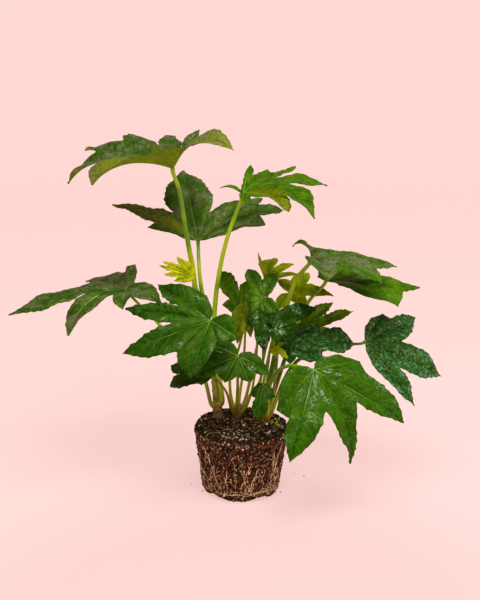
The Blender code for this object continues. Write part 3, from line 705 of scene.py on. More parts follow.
def leaf_finish(name, tone):
    """The upper side of a blade: waxy and crinkled, mottled, with pale midribs and wet places, with painted
    shade in the crinkles' hollows, painted glints on their crests and a painted sheen in patches and on the
    wet places.
    """
    settings = bpy.context.scene.fatsia_leaves
    colour, patch_colour = getattr(settings, tone.colour), getattr(settings, tone.patch)
    finish = Finish(name)
    rib, line, off = vein_marks(finish, settings)
    pale, _ = finish.map_parts("pale")
    along, across = finish.map_parts("lobe")
    seam = finish.step(abs(across), 0.4, 1.0) * (1 - finish.step(along, 0.35, 0.55))
    pale = pale * (1 - seam)
    patch = finish.noise(46, 5, roughness=0.65)
    streak = finish.along_veins(1.3, 3, 2.6)
    blotch = finish.noise(95, 3)
    crinkle = finish.noise(290, 3, roughness=0.6)
    net = finish.cells(230)
    # pale specks in patches: dust, and painted glints of water droplets
    speck = 1 - finish.step(finish.cells(300, "F1"), 0.08, 0.16)
    dust = speck * finish.step(finish.noise(130, 2), 0.54, 0.62)
    mottle = finish.step(patch * 0.6 + streak * 0.4, 0.46, 0.58)
    body = finish.mix(finish.step(blotch, 0.3, 0.7), shade(colour, 0.7), shade(colour, 1.3))
    # patches of the patch colour, here and on faded lobes; on the grey and tan blades they are painted grey
    # sheen
    body = finish.mix(mottle * tone.share, body, patch_colour)
    faded = finish.mix(mottle * 0.85, settings.faded, patch_colour)
    body = finish.mix(pale, body, faded)
    # painted shade: the crinkles' hollows are darkened
    body = finish.mix((1 - finish.step(crinkle, 0.38, 0.5)) * 0.5, body, shade(colour, 0.4))
    # painted glints: the crinkles' crests are made paler towards the patch colour
    painted_glint = finish.step(crinkle, 0.52, 0.64) * (0.25 + finish.step(patch, 0.36, 0.6) * 0.75)
    body = finish.mix(painted_glint * tone.painted_glint, body, shade(patch_colour, 1.4))
    body = finish.mix((1 - finish.step(net, 0.0, 0.06)) * 0.10, body, shade(colour, 2.0))
    body = finish.mix(finish.step(off, 0.5, 1.0) * 0.10, body, shade(colour, 1.7))
    body = finish.mix(dust * 0.45, body, settings.dust)
    body = finish.mix(line * (0.2 * tone.veins), body, shade(settings.vein, 0.7))
    body = finish.mix(rib * tone.veins, body, settings.vein)
    damp = finish.step(finish.noise(55, 3), 0.48, 0.60) * finish.step(crinkle, 0.46, 0.56)
    damp = damp * (1 - tone.rim_wet + finish.step(abs(across), 0.55, 0.8) * tone.rim_wet)
    # painted sheen on the wet places
    body = finish.mix(damp * (tone.wet * 0.5), body, settings.bloom)
    height = (1 - off * off) * 0.25 + blotch * 0.5 + streak * 0.3 - line * 0.08 - rib * 0.25
    height = height + crinkle * tone.crinkle
    if tone.wet:
        drops = 1 - finish.step(finish.cells(420, "F1"), 0.12, 0.26)
        height = height + drops * damp * 0.25
    rough = tone.gloss + (1 - damp) * tone.spread + rib * 0.12
    return finish.surface(
        through=settings.through,
        glow=settings.glow * tone.passing,
        Base_Color=body,
        Roughness=rough,
        Normal=finish.bump(height),
        Specular_IOR_Level=tone.shine,
        Specular_Tint=LEAF_SHINE,
        Coat_Weight=damp * tone.wet if tone.wet else 0.0,
        Coat_Roughness=0.12,
        Coat_IOR=1.45,
    )


def underside_finish(name, colour):
    """The under side of a blade: paler, matt, browner in patches, with its veins standing out."""
    settings = bpy.context.scene.fatsia_leaves
    finish = Finish(name)
    rib, line, off = vein_marks(finish, settings)
    patch = finish.noise(40, 4, roughness=0.6)
    blotch = finish.noise(140, 3)
    net = finish.cells(230)
    brown = (colour[0] * 0.9, colour[1] * 0.85, colour[2])
    body = finish.mix(finish.step(blotch, 0.3, 0.7), shade(colour, 0.75), shade(colour, 1.25))
    body = finish.mix(finish.step(patch, 0.42, 0.62) * 0.75, body, brown)
    body = finish.mix((1 - finish.step(net, 0.0, 0.09)) * 0.2, body, shade(settings.vein, 0.9))
    body = finish.mix(line * 0.4, body, settings.vein)
    body = finish.mix(rib, body, shade(settings.vein, 1.1))
    height = line * 0.25 + (1 - finish.step(net, 0.0, 0.12)) * 0.06 + off * off * 0.2 + blotch * 0.3
    return finish.surface(
        through=settings.through,
        glow=settings.glow,
        Base_Color=body,
        Roughness=0.52 + patch * 0.12,
        Specular_Tint=LEAF_SHINE,
        Normal=finish.bump(height),
    )


def stalk_finish(name, colour, foot):
    """Smooth stalk skin in yellow and green, with fine streaks, turning browner towards the soil."""
    finish = Finish(name)
    streak = finish.noise(1, 3, finish.stretched((900, 900, 60)))
    patch = finish.noise(40, 2)
    low = 1 - finish.step(finish.height(), 0.09, 0.17)
    zone = finish.noise(14, 2)
    green = (colour[0] * 0.28, colour[1] * 0.55, colour[2])
    body = finish.mix(finish.step(zone, 0.44, 0.56) * 0.85, shade(colour, 1.1), green)
    body = finish.mix(low * (0.35 + patch * 0.6), body, foot)
    body = finish.mix(finish.step(streak, 0.5, 0.75) * 0.3, body, shade(colour, 0.55))
    return finish.surface(
        Base_Color=body,
        Roughness=0.34 + patch * 0.14,
        Normal=finish.bump(streak * 0.12),
    )


def bark_finish(name, green, brown):
    """Stem skin: woody and corky at the foot, green above, with lenticels."""
    finish = Finish(name)
    patch = finish.noise(130, 4)
    crack = finish.cells(1, vector=finish.stretched((420, 420, 150)))
    spots = 1 - finish.step(finish.cells(260, "F1"), 0.1, 0.22)
    woody = 1 - finish.step(finish.height() + (patch - 0.5) * 0.03, 0.092, 0.122)
    skin = finish.mix(finish.step(patch, 0.3, 0.7), shade(green, 0.7), shade(green, 1.25))
    skin = finish.mix(spots * 0.5, skin, shade(brown, 1.6))
    bark = finish.mix(finish.step(patch, 0.35, 0.7), shade(brown, 0.55), shade(brown, 1.3))
    bark = finish.mix(1 - finish.step(crack, 0.0, 0.12), bark, shade(brown, 0.3))
    height = woody * finish.step(crack, 0.0, 0.2) * 0.5 + patch * 0.2 + spots * 0.1
    return finish.surface(
        Base_Color=finish.mix(woody, skin, bark),
        Roughness=0.45 + woody * 0.4,
        Normal=finish.bump(height),
    )


def peat_finish(name, dark, red):
    """Moist peat: crumbs in many browns with painted shade in the gaps, redder on the side, and pale chips.
    """
    settings = bpy.context.scene.fatsia_root_ball
    finish = Finish(name)
    patch = finish.noise(60, 4, roughness=0.6)
    fibre = finish.noise(1, 5, finish.stretched((700, 700, 240)), 0.7)
    crumb = finish.cells(360, "F1")
    kind = finish.cells(360, "F1", "Color")
    chip = finish.cells(640, "F1")
    chip_kind = finish.cells(640, "F1", "Color")
    side = 1 - finish.step(finish.height() + (patch - 0.5) * 0.02, 0.080, 0.088)
    redness = finish.step(patch, 0.3, 0.55) * (0.2 + side * 0.8)
    brown = finish.mix(redness, dark, red)
    body = finish.mix(finish.step(kind, 0.3, 0.7) * (0.6 + side * 0.4), shade(dark, 0.5), brown)
    body = finish.mix(finish.step(fibre, 0.52, 0.70) * (0.25 + side * 0.4), body, shade(red, 1.8))
    # painted shade in the gaps between crumbs
    body = finish.mix(finish.step(crumb, 0.28, 0.62) * 0.85, body, shade(dark, 0.22))
    chips = (1 - finish.step(chip, 0.25, 0.4)) * finish.step(chip_kind, 0.72, 0.78)
    body = finish.mix(chips * (0.3 + side * 0.25), body, shade(settings.fibre, 0.8))
    height = fibre * 0.8 - crumb * 1.2 + patch * 0.5 + chips * 0.4
    return finish.surface(
        Base_Color=body,
        Roughness=0.82 + fibre * 0.15,
        Specular_IOR_Level=0.2,
        Normal=finish.bump(height),
    )


def speckled_finish(name, colour, spread, scale, rough, relief):
    """A matt natural surface that varies from place to place and from grain to grain."""
    finish = Finish(name)
    patch = finish.noise(scale * 0.25, 2)
    grain = finish.noise(scale, 3)
    body = finish.mix(finish.step(patch, 0.35, 0.65), shade(colour, 1 - spread), shade(colour, 1 + spread))
    body = finish.mix(finish.step(grain, 0.45, 0.75) * 0.5, body, shade(colour, 0.55))
    return finish.surface(Base_Color=body, Roughness=rough, Normal=finish.bump(grain * relief))


def crumb_finish(name, settings):
    """Loose peat crumbs: most dark, some reddish, a few as pale as straw."""
    finish = Finish(name)
    grain = finish.noise(900, 3)
    body = finish.ramp(finish.tint(), (
        (0.0, shade(settings.dark, 0.5)),
        (0.40, shade(settings.dark, 1.3)),
        (0.62, settings.red),
        (0.86, shade(settings.red, 1.5)),
        (0.94, settings.fibre),
    ))
    above = finish.step(finish.height(), 0.084, 0.088)
    hidden = finish.step(grain, 0.4, 0.7) * 0.6 + above * finish.step(finish.noise(170, 3), 0.42, 0.56) * 0.85
    body = finish.mix(hidden, body, shade(settings.dark, 0.5))
    return finish.surface(Base_Color=body, Roughness=0.9, Normal=finish.bump(grain * 0.2))


def root_finish(name, colour, soil):
    """Pale roots that are stained and here and there covered by soil."""
    finish = Finish(name)
    patch = finish.noise(60, 2)
    stain = finish.noise(170, 3, roughness=0.6)
    grain = finish.noise(800, 3)
    body = finish.mix(finish.step(patch, 0.35, 0.65), shade(colour, 0.6), shade(colour, 1.2))
    body = finish.mix(finish.step(stain, 0.48, 0.58) * 0.85, body, shade(soil, 1.3))
    body = finish.mix(finish.step(grain, 0.5, 0.75) * 0.5, body, shade(colour, 0.45))
    return finish.surface(Base_Color=body, Roughness=0.75, Normal=finish.bump(grain * 0.1))


# what every piece shares


def select_only(*objects):
    """Object mode, with only these objects selected and the first one active."""
    bpy.ops.object.select_all(action="DESELECT")
    for made in objects:
        made.select_set(True)
    bpy.context.view_layer.objects.active = objects[0]


def join_all(objects, name):
    """The objects as one, named anew."""
    select_only(*objects)
    if len(objects) > 1:
        bpy.ops.object.join()
    made = bpy.context.object
    made.name = made.data.name = name
    return made


def weld_all(made, distance, outwards=False):
    """Merges points that lie within the distance, and turns the faces outwards if asked to."""
    select_only(made)
    bpy.ops.object.mode_set(mode="EDIT")
    bpy.ops.mesh.select_all(action="SELECT")
    bpy.ops.mesh.remove_doubles(threshold=distance)
    if outwards:
        bpy.ops.mesh.select_all(action="SELECT")
        bpy.ops.mesh.normals_make_consistent(inside=False)
    bpy.ops.object.mode_set(mode="OBJECT")


def add_spun(profile, sides, inwards=False):
    """A shape spun round the Z axis from (radius, height) pairs, the first of them on the axis."""
    bpy.ops.object.select_all(action="DESELECT")
    bpy.ops.mesh.primitive_plane_add(size=MM)
    bpy.ops.object.mode_set(mode="EDIT")
    bpy.ops.mesh.select_all(action="SELECT")
    bpy.ops.mesh.merge(type="CENTER")
    for (r0, z0), (r1, z1) in zip(profile, profile[1:]):
        step = (float(r1 - r0), 0.0, float(z1 - z0))
        bpy.ops.mesh.extrude_vertices_move(TRANSFORM_OT_translate={"value": step})
    bpy.ops.mesh.select_all(action="SELECT")
    bpy.ops.mesh.spin(steps=sides, angle=2 * math.pi, center=(0, 0, 0), axis=(0, 0, 1))
    bpy.ops.mesh.select_all(action="SELECT")
    bpy.ops.mesh.remove_doubles(threshold=WELD)
    bpy.ops.mesh.normals_make_consistent(inside=inwards)
    bpy.ops.object.mode_set(mode="OBJECT")
    return bpy.context.object


def apply_all(made):
    """Makes the object's modifiers part of its mesh."""
    select_only(made)
    for modifier in list(made.modifiers):
        bpy.ops.object.modifier_apply(modifier=modifier.name)


def finish_piece(made, nodes=(), material=None):
    """Gives a piece its material and its place in the frame."""
    if material is not None:
        made.data.materials.clear()
        made.data.materials.append(material)
    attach(made, "root")
    if nodes:
        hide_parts(*nodes)
    return made


def find(name):
    """An object that an earlier step has made."""
    made = bpy.data.objects.get(name)
    if made is None:
        raise RuntimeError(f"{name} isn't there yet: run its own step first")
    return made


def lumps(mesh, scale, reach, seed, power=1.0, still=None):
    """Pushes points in and out along their normals by noise, less so near the still point.

    scale is to the metre, reach in metres. A power below 1 makes the lumps blunter.
    """
    mesh.update()
    shift = Vector((seed, seed * 0.7, seed * 1.3))
    moves = []
    for vertex in mesh.vertices:
        rough = noise.noise(vertex.co * scale + shift)
        free = 1.0 if still is None else min(1.0, (vertex.co - still).length / STILL_REACH)
        moves.append(vertex.normal * reach * free * math.copysign(abs(rough) ** power, rough))
    for vertex, move in zip(mesh.vertices, moves):
        vertex.co += move
        vertex.co.z = max(vertex.co.z, 0.0)
    mesh.update()


def route_points(knots, ways=None):
    """Points along a smooth curve through knots of (place, radius), and their radii.

    ways are the directions in which it starts and ends.
    """
    bpy.ops.object.select_all(action="DESELECT")
    bpy.ops.curve.primitive_bezier_curve_add()
    drawn = bpy.context.object
    spline = drawn.data.splines[0]
    spline.bezier_points.add(len(knots) - len(spline.bezier_points))
    for point, (place, _) in zip(spline.bezier_points, knots):
        point.co = place
        point.handle_left_type = point.handle_right_type = "AUTO"
    bpy.context.view_layer.update()
    if ways is not None:
        for point, beyond, way in (
            (spline.bezier_points[0], knots[1][0], ways[0]),
            (spline.bezier_points[-1], knots[-2][0], ways[1]),
        ):
            reach = min((beyond - point.co).length / 3, ELBOW)
            point.handle_left_type = point.handle_right_type = "FREE"
            point.handle_left = point.co - way * reach
            point.handle_right = point.co + way * reach
    points, radii = [], []
    pairs = zip(spline.bezier_points, list(spline.bezier_points)[1:], knots, knots[1:])
    for a, b, (_, first), (_, last) in pairs:
        piece = geometry.interpolate_bezier(a.co, a.handle_right, b.handle_left, b.co, ROUTE_STEPS + 1)
        skip = 1 if points else 0
        points += piece[skip:]
        radii += [first + (last - first) * i / ROUTE_STEPS for i in range(skip, ROUTE_STEPS + 1)]
    bpy.data.objects.remove(drawn, do_unlink=True)
    return points, radii


def add_tubes(name, routes, sides):
    """One mesh of closed tubes. Each route is a list of (point, radius) pairs."""
    bpy.ops.object.select_all(action="DESELECT")
    bpy.ops.curve.primitive_bezier_curve_add()
    drawn = bpy.context.object
    curve = drawn.data
    curve.splines.clear()
    curve.dimensions = "3D"
    curve.bevel_depth = 1.0
    curve.bevel_resolution = (sides - 4) // 2
    curve.use_fill_caps = True
    for route in routes:
        spline = curve.splines.new("POLY")
        spline.points.add(len(route) - 1)
        for knot, (place, radius) in zip(spline.points, route):
            knot.co = (*place, 1.0)
            knot.radius = radius
    bpy.ops.object.convert(target="MESH")
    made = bpy.context.object
    made.name = made.data.name = name
    weld_all(made, WELD / 4, outwards=True)
    bpy.ops.object.shade_smooth_by_angle(angle=math.radians(60))
    return made


def smooth(x, low, high):
    """0 below low, 1 above high, smooth between."""
    t = np.clip((np.asarray(x, float) - low) / (high - low), 0, 1)
    return t * t * (3 - 2 * t)


# leaf blades


def spine(heading, length, rise, curl, sweep=0.0, twist=0.0):
    """A midrib as arrays of points, sideways directions and upper normals, in the blade's own frame."""
    t = np.linspace(0, 1, SPINE_STEPS + 1)
    climb = np.radians(rise - curl * t**CURL_POWER)
    turn = np.radians(heading + sweep * t)
    along = np.stack([np.cos(climb) * np.cos(turn), np.cos(climb) * np.sin(turn), np.sin(climb)], 1)
    steps = (along[1:] + along[:-1]) / 2 * length / SPINE_STEPS
    points = np.vstack([np.zeros(3), np.cumsum(steps, 0)])
    side = np.stack([-np.sin(turn), np.cos(turn), np.zeros_like(turn)], 1)
    upper = np.cross(along, side)
    roll = np.radians(twist * t)[:, None]
    return points, side * np.cos(roll) + upper * np.sin(roll), upper * np.cos(roll) - side * np.sin(roll)


def along_spine(curve, t):
    """Rows of an array sampled along a spine, read at the fractions t."""
    steps = np.linspace(0, 1, len(curve))
    return np.stack([np.interp(t, steps, curve[:, k]) for k in range(3)], -1)


def pick(value, default):
    """The lobe's own value, or the blade's where the lobe gives none."""
    return default if value is None else value


def edge_width(u, start, fullness, late):
    """Half-width of a lobe, of its length, at the fraction u of its free edge.

    It starts at start and bulges by fullness, the nearer to the tip, the higher late is.
    """
    return (1 - u) ** EDGE_POWER * (start + fullness * u**late)


def saw(u, teeth, heights):
    """Saw-tooth outline of the free edge: a height on each tooth's point and 0 in its notch."""
    phase = u * teeth % 1.0
    rise = np.where(phase < TOOTH_PEAK, phase / TOOTH_PEAK, (1 - phase) / (1 - TOOTH_PEAK))
    which = np.minimum((u * teeth).astype(int), len(heights) - 1)
    return rise * heights[which] * smooth(u, 0.02, 0.2) * np.clip((1 - u) * 5, 0, 1)


def notch_spines(blade):
    """The line from the stalk to the notch on each side of every lobe, and how far out each notch lies."""
    lobes = blade.lobes
    ear = min(blade.ear, (360 - lobes[-1].heading + lobes[0].heading) / 2 - EAR_CLEARANCE)
    found = []
    for k in range(len(lobes) + 1):
        inner = 0 < k < len(lobes)
        before, after = lobes[max(k - 1, 0)], lobes[min(k, len(lobes) - 1)]
        length = (before.length + after.length) / 2 * MM
        heading = (before.heading + after.heading) / 2
        rise = (pick(before.rise, blade.rise) + pick(after.rise, blade.rise)) / 2
        curl = (pick(before.curl, blade.curl) + pick(after.curl, blade.curl)) / 2
        if inner:
            reach = pick(before.notch, blade.cut)
            rise += blade.pleat
        else:
            reach = EAR_REACH
            heading += -ear if k == 0 else ear
        points, _, _ = spine(heading, length, rise, curl)
        found.append((points, heading, length * reach, reach, inner))
    return found


def half_lobe(lobe, notch, middle, side, upper, fold, rows, chance, settings):
    """The border of one half of a lobe, in 3-D and as (along, across) in the flat, row for row."""
    curve, _, _, reach, inner = notch
    foot, start, hand, teeth = rows["foot"], rows["start"], rows["hand"], rows["teeth"]
    length = lobe.length * MM
    late = lobe.late if inner else lobe.late - OUTER_LEAD
    fullness = (INNER_FULLNESS * min(start, WIDEST_START) if inner else OUTER_FULLNESS) * lobe.width
    coarse = np.array([chance.uniform(0.5, 1.3) for _ in range(COARSE_TEETH)])
    fine = np.array([chance.uniform(0.6, 1.4) for _ in range(teeth)])

    def half_width(u):
        teeth_height = settings.tooth_height * (saw(u, COARSE_TEETH, coarse) + saw(u, teeth, fine))
        toothed = min(1.0, lobe.length / FULL_TEETH)
        return edge_width(u, start, fullness, late) * length + teeth_height * toothed

    def edge(u):
        t = foot + (1 - foot) * u
        out = hand * along_spine(side, t) * math.cos(fold) + along_spine(upper, t) * math.sin(fold)
        return along_spine(middle, t) + out * half_width(u)[:, None]

    web, free = rows["web"], rows["free"]
    notch_line = along_spine(curve, web * reach)
    shift = notch_line[-1] - edge(np.array([0.0]))[0]
    border = np.vstack([notch_line, edge(free) + shift * ((1 - free) ** 2)[:, None]])
    along = np.concatenate([web * foot * length, (foot + (1 - foot) * free) * length])
    across = np.concatenate([web * start * length, half_width(free)])
    return border, along, across


def lobe_sheet(blade, notches, k, chance, settings):
    """Grid points and two UV maps of each half of a lobe, row by row from the stalk to the tip."""
    lobe = blade.lobes[k]
    length = lobe.length * MM
    rise, curl = pick(lobe.rise, blade.rise), pick(lobe.curl, blade.curl)
    middle, side, upper = spine(lobe.heading, length, rise, curl, lobe.sweep, lobe.twist)
    fold = math.radians(pick(lobe.fold, blade.fold))
    feet = []
    for n in (k, k + 1):
        away = notches[n][2] / length
        between = math.radians(notches[n][1] - lobe.heading)
        feet.append((away * math.cos(between), away * abs(math.sin(between))))
    foot_mean = (feet[0][0] + feet[1][0]) / 2
    teeth = max(COARSE_TEETH, round(length * (1 - foot_mean) / settings.tooth_spacing))
    web = np.arange(WEB_ROWS + 1) / WEB_ROWS
    free = np.arange(1, teeth * TOOTH_ROWS + 1) / (teeth * TOOTH_ROWS)
    rib_t = np.concatenate([web * foot_mean, foot_mean + (1 - foot_mean) * free])
    rib, lift_way = along_spine(middle, rib_t), along_spine(upper, rib_t)
    open_rows = np.concatenate([np.zeros(WEB_ROWS + 1), smooth(free, 0.0, 0.3)])[:, None]
    wobble, beat = chance.uniform(0, 2 * math.pi), chance.uniform(0.8, 1.2)
    halves = []
    for hand, n in ((-1, k), (1, k + 1)):
        rows = {"foot": feet[n - k][0], "start": feet[n - k][1], "hand": hand,
                "teeth": teeth, "web": web, "free": free}
        border, along, across = half_lobe(
            lobe, notches[n], middle, side, upper, fold, rows, chance, settings)
        rib_part = np.minimum(settings.rib_width / np.maximum(across, 1e-6), RIB_SHARE)[:, None]
        even = np.linspace(0, 1, HALF_COLUMNS)[None, :]
        share = np.hstack([np.zeros_like(rib_part), rib_part + (1 - rib_part) * even])
        flat_along = (rib_t * length)[:, None] * (1 - share) + along[:, None] * share
        flat_across = across[:, None] * share
        warped = flat_along + VEIN_WANDER * np.sin(flat_along * VEIN_WANDER_RATE * beat + wobble)
        lead = warped - VEIN_SLANT * flat_across - VEIN_BEND * flat_across**2
        phase = lead / (settings.vein_spacing * beat) + (0.5 if hand > 0 else 0.0)
        points = rib[:, None] * (1 - share[..., None]) + border[:, None] * share[..., None]
        width = across[:, None]
        lift = settings.crown * width * 4 * share * (1 - share)
        pillow = np.cos(math.pi * phase) ** 2 * smooth(share, 0.02, 0.3) * smooth(1 - share, 0.0, 0.2)
        lift = lift + settings.quilt * pillow * smooth(width, *QUILT_WIDTHS)
        wave = np.sin(flat_along / settings.wave_length * 2 * math.pi + wobble * (1 + hand))
        lift = lift + settings.wave * wave * share**2 * open_rows * min(1.0, lobe.length / FULL_WAVE)
        points = points + lift_way[:, None] * lift[..., None]
        veins = np.stack([phase, hand * flat_across * MAP_SCALE], -1)
        lobe_map = np.stack([flat_along / length, hand * share], -1)
        halves.append((points, veins, lobe_map))
    return halves, rib_t


def add_lobe(blade, notches, k, chance, settings, pale):
    """One lobe of a blade as its own grid, with thickness weights and three UV maps."""
    halves, rib_t = lobe_sheet(blade, notches, k, chance, settings)
    rows = len(rib_t) - 1
    columns = 2 * HALF_COLUMNS
    bpy.ops.mesh.primitive_grid_add(x_subdivisions=columns, y_subdivisions=rows, size=MM)
    lobe = bpy.context.object
    mesh = lobe.data
    left, right = (h[0] for h in halves)
    points = np.concatenate([left[:, :0:-1], right], axis=1)
    mesh.vertices.foreach_set("co", points.astype(np.float32).ravel())
    vertex_of = np.zeros(len(mesh.loops), int)
    mesh.loops.foreach_get("vertex_index", vertex_of)
    face_column = np.repeat(np.arange(len(mesh.polygons)) % columns, 4)
    row, column = vertex_of // (columns + 1), vertex_of % (columns + 1)
    right_hand = face_column >= HALF_COLUMNS
    offset = np.abs(column - HALF_COLUMNS)
    for name, which in (("veins", 1), ("lobe", 2)):
        layer = mesh.uv_layers.new(name=name)
        values = np.where(right_hand[:, None], halves[1][which][row, offset], halves[0][which][row, offset])
        layer.data.foreach_set("uv", values.astype(np.float32).ravel())
    layer = mesh.uv_layers.new(name="pale")
    layer.data.foreach_set("uv", np.full(2 * len(mesh.loops), float(pale), np.float32))
    mesh.uv_layers.remove(mesh.uv_layers["UVMap"])
    group = lobe.vertex_groups.new(name="thickness")
    full, thin = settings.rib_height, settings.thickness
    for i, t in enumerate(rib_t):
        for j in range(columns + 1):
            at_rib = j == HALF_COLUMNS or i == 0
            depth = thin + (full - thin) * (1 - t) ** RIB_TAPER if at_rib else thin
            group.add([i * (columns + 1) + j], depth / full, "REPLACE")
    return lobe


def leaning(lean):
    """Rotation that tips a level blade so that its upper side leans by lean[1] degrees towards lean[0]."""
    towards = math.radians(lean[0])
    return Matrix.Rotation(math.radians(lean[1]), 3, Vector((-math.sin(towards), math.cos(towards), 0)))


def turn_up(made, upwards):
    """Turns a blade's faces so that most of them look upwards, away from the stalk."""
    towards = sum(p.normal.dot(upwards) * p.area for p in made.data.polygons)
    if towards < 0:
        made.data.flip_normals()


def add_blade_mesh(name, leaf, chance, settings, materials):
    """A whole blade in its place: lobes joined, welded and given their thickness and ribs."""
    blade = leaf.blade
    notches = notch_spines(blade)
    bpy.ops.object.select_all(action="DESELECT")
    lobes = [add_lobe(blade, notches, k, chance, settings, k in leaf.pale) for k in range(len(blade.lobes))]
    made = join_all(lobes, name)
    made.data.transform(leaning(blade.lean).to_4x4())
    joint = Vector(blade.joint) * MM
    made.data.transform(Matrix.Translation(joint))
    weld_all(made, WELD)
    turn_up(made, leaning(blade.lean) @ Vector((0, 0, 1)))
    lumps(made.data, settings.swell_scale, settings.swell, chance.uniform(0, 50), still=joint)
    for material in materials:
        made.data.materials.append(material)
    thick = made.modifiers.new("thickness", "SOLIDIFY")
    thick.thickness = settings.rib_height
    thick.offset = -1.0
    thick.vertex_group = "thickness"
    thick.material_offset = 1
    apply_all(made)
    bpy.ops.object.shade_smooth_by_angle(angle=math.radians(60))
    return made


# stems and stalks


def stem_at(knots, height):
    """Axis point and radius of a stem at a height, in metres."""
    table = np.array(knots) * MM
    x, y, radius = (float(np.interp(height, table[:, 2], table[:, k])) for k in (0, 1, 3))
    return Vector((x, y, height)), radius


def stalk_route(blade, stalk, settings, leaves):
    """A stalk's points and radii: a clasping foot sunk in its stem, a slim middle and a swollen neck."""
    knots = STEMS[stalk.stem]
    axis, radius = stem_at(knots, stalk.height * MM)
    if stalk.heading is None:
        way = (Vector(knots[-1][:3]) - Vector(knots[-2][:3])).normalized()
        foot = axis - way * TOP_SINK
    else:
        heading = math.radians(stalk.heading)
        way = Vector((math.cos(heading), math.sin(heading), 0))
        foot = axis + way * radius * FOOT_SINK
    normal = leaning(blade.lean) @ Vector((0, 0, 1))
    head = Vector(blade.joint) * MM - normal * leaves.rib_height * HEAD_SINK
    places = [foot, *(Vector(p) * MM for p in stalk.via), head]
    thick = np.linspace(stalk.foot, stalk.neck, len(places)) * MM
    points, radii = route_points(list(zip(places, thick)), (way, normal))
    travel = np.cumsum([0.0, *((b - a).length for a, b in zip(points, points[1:]))])
    flare = 1 + settings.foot_flare * np.exp(-((travel / FLARE_REACH) ** 2))
    swell = 1 + settings.neck_swell * np.exp(-(((travel[-1] - travel) / NECK_REACH) ** 2))
    stout = np.sqrt(np.array(radii) / STOUT_RADIUS) * settings.slimness
    return list(zip(points, np.array(radii) * stout * flare * swell))


def stem_route(name, knots):
    """A stem's points and radii, with a ring where each leaf joined it and a woody foot."""
    places = [(Vector(k[:3]) * MM, k[3] * MM) for k in knots]
    points, radii = route_points(places)
    woody_height, woody_reach = WOODY_FOOT
    route = []
    for point, radius in zip(points, radii):
        height = point.z / MM
        ring = sum(math.exp(-(((height - scar) / SCAR_WIDTH) ** 2)) for scar in STEM_SCARS[name])
        foot = WOODY_SWELL * math.exp(-(((height - woody_height) / woody_reach) ** 2))
        route.append((point, radius * (1 + SCAR_SWELL * ring + foot)))
    return route


# root ball, roots and loose peat


class Skin:
    """The soil's finished surface, which roots, grains and crumbs are laid on."""

    def __init__(self, made):
        mesh = made.data
        self.tree = BVHTree.FromPolygons([v.co for v in mesh.vertices], [p.vertices for p in mesh.polygons])

    def side(self, heading, height):
        """Point and outward normal of the ball's side."""
        turn = math.radians(heading)
        way = Vector((math.cos(turn), math.sin(turn), 0))
        place, normal, _, _ = self.tree.ray_cast(way * 0.2 + Vector((0, 0, height)), -way)
        return place, normal

    def top(self, x, y):
        """Point and upward normal of the ball's top."""
        place, normal, _, _ = self.tree.ray_cast(Vector((x, y, 0.3)), Vector((0, 0, -1)))
        return place, normal


def notch_lift(x, y):
    """How far the base edge is lifted at a drain notch of the pot, in metres."""
    radius = math.hypot(x, y) / MM
    turn = math.degrees(math.atan2(y, x))
    off = min(abs((turn - notch + 180) % 360 - 180) for notch in BASE_NOTCHES)
    inside = smooth(radius, BASE_EDGE[0] - 6, BASE_EDGE[0] + 2)
    return float(NOTCH_RISE * max(0, 1 - (off / NOTCH_HALF_ANGLE) ** 2) * inside)


def ball_profile():
    """Radius and height along the root ball's outline, base centre to top centre, evenly spaced."""
    knots = np.array([(0, 0), *BALL_PROFILE, (0, 86)], float) * MM
    travel = np.concatenate([[0], np.cumsum(np.hypot(*np.diff(knots, axis=0).T))])
    steps = np.linspace(0, travel[-1], BALL_ROWS + 1)
    return [(np.interp(s, travel, knots[:, 0]), np.interp(s, travel, knots[:, 1])) for s in steps]


def add_ball_mesh(settings):
    """The moulded peat: a spun profile with drain notches, lumps and crumbs."""
    ball = add_spun(ball_profile(), BALL_SIDES)
    for vertex in ball.data.vertices:
        share = max(0, 1 - vertex.co.z / (BALL_RIM * MM))
        swell = 1 + BASE_OVAL * math.cos(2 * math.atan2(vertex.co.y, vertex.co.x)) * share
        vertex.co.x *= swell
        vertex.co.y *= swell
        if vertex.co.z < LIFTED_BASE:
            vertex.co.z += notch_lift(vertex.co.x, vertex.co.y)
    smoother = ball.modifiers.new("finer", "SUBSURF")
    smoother.levels = smoother.render_levels = 2
    apply_all(ball)
    lumps(ball.data, 45, 1.4 * MM, 3)
    lumps(ball.data, 160, settings.lump * MM, 5)
    lumps(ball.data, 420, settings.crumb * MM, 9, power=0.8)
    lumps(ball.data, 900, settings.crumb * 0.45 * MM, 12)
    bpy.ops.object.shade_smooth_by_angle(angle=math.radians(80))
    return ball


def ring_height(heading):
    """Height of the ring of roots at a heading, in millimetres."""
    turn = math.radians(heading)
    return RING_HEIGHT + 2.5 * math.sin(3 * turn) + 1.5 * math.sin(7 * turn + 0.7)


def root_track(heading, top, chance):
    """Headings and heights of a root that wanders down the side of the ball to the ring."""
    height, turn, drift = top, heading, chance.uniform(-1.2, 1.2)
    track = []
    while height > ring_height(turn):
        track.append((turn, height))
        height -= chance.uniform(6, 9)
        drift += chance.uniform(-0.5, 0.5)
        turn += drift * 3
    return [*track, (turn, ring_height(turn))]


def frame_tracks():
    """The tracks of the roots that the frame has, drawn in the same order."""
    chance = random.Random(ROOT_SEED)
    tracks = [[(h, ring_height(h)) for h in range(0, 361, RING_STEP)]]
    for k in range(ROOT_COUNT):
        heading = 360 * k / ROOT_COUNT + chance.uniform(-6, 6)
        top = chance.uniform(38, 74)
        for fork in range(chance.choice((1, 1, 2))):
            track = root_track(heading, top * (chance.uniform(0.5, 0.7) if fork else 1), chance)
            if len(track) > 2:
                tracks.append(track)
    return tracks


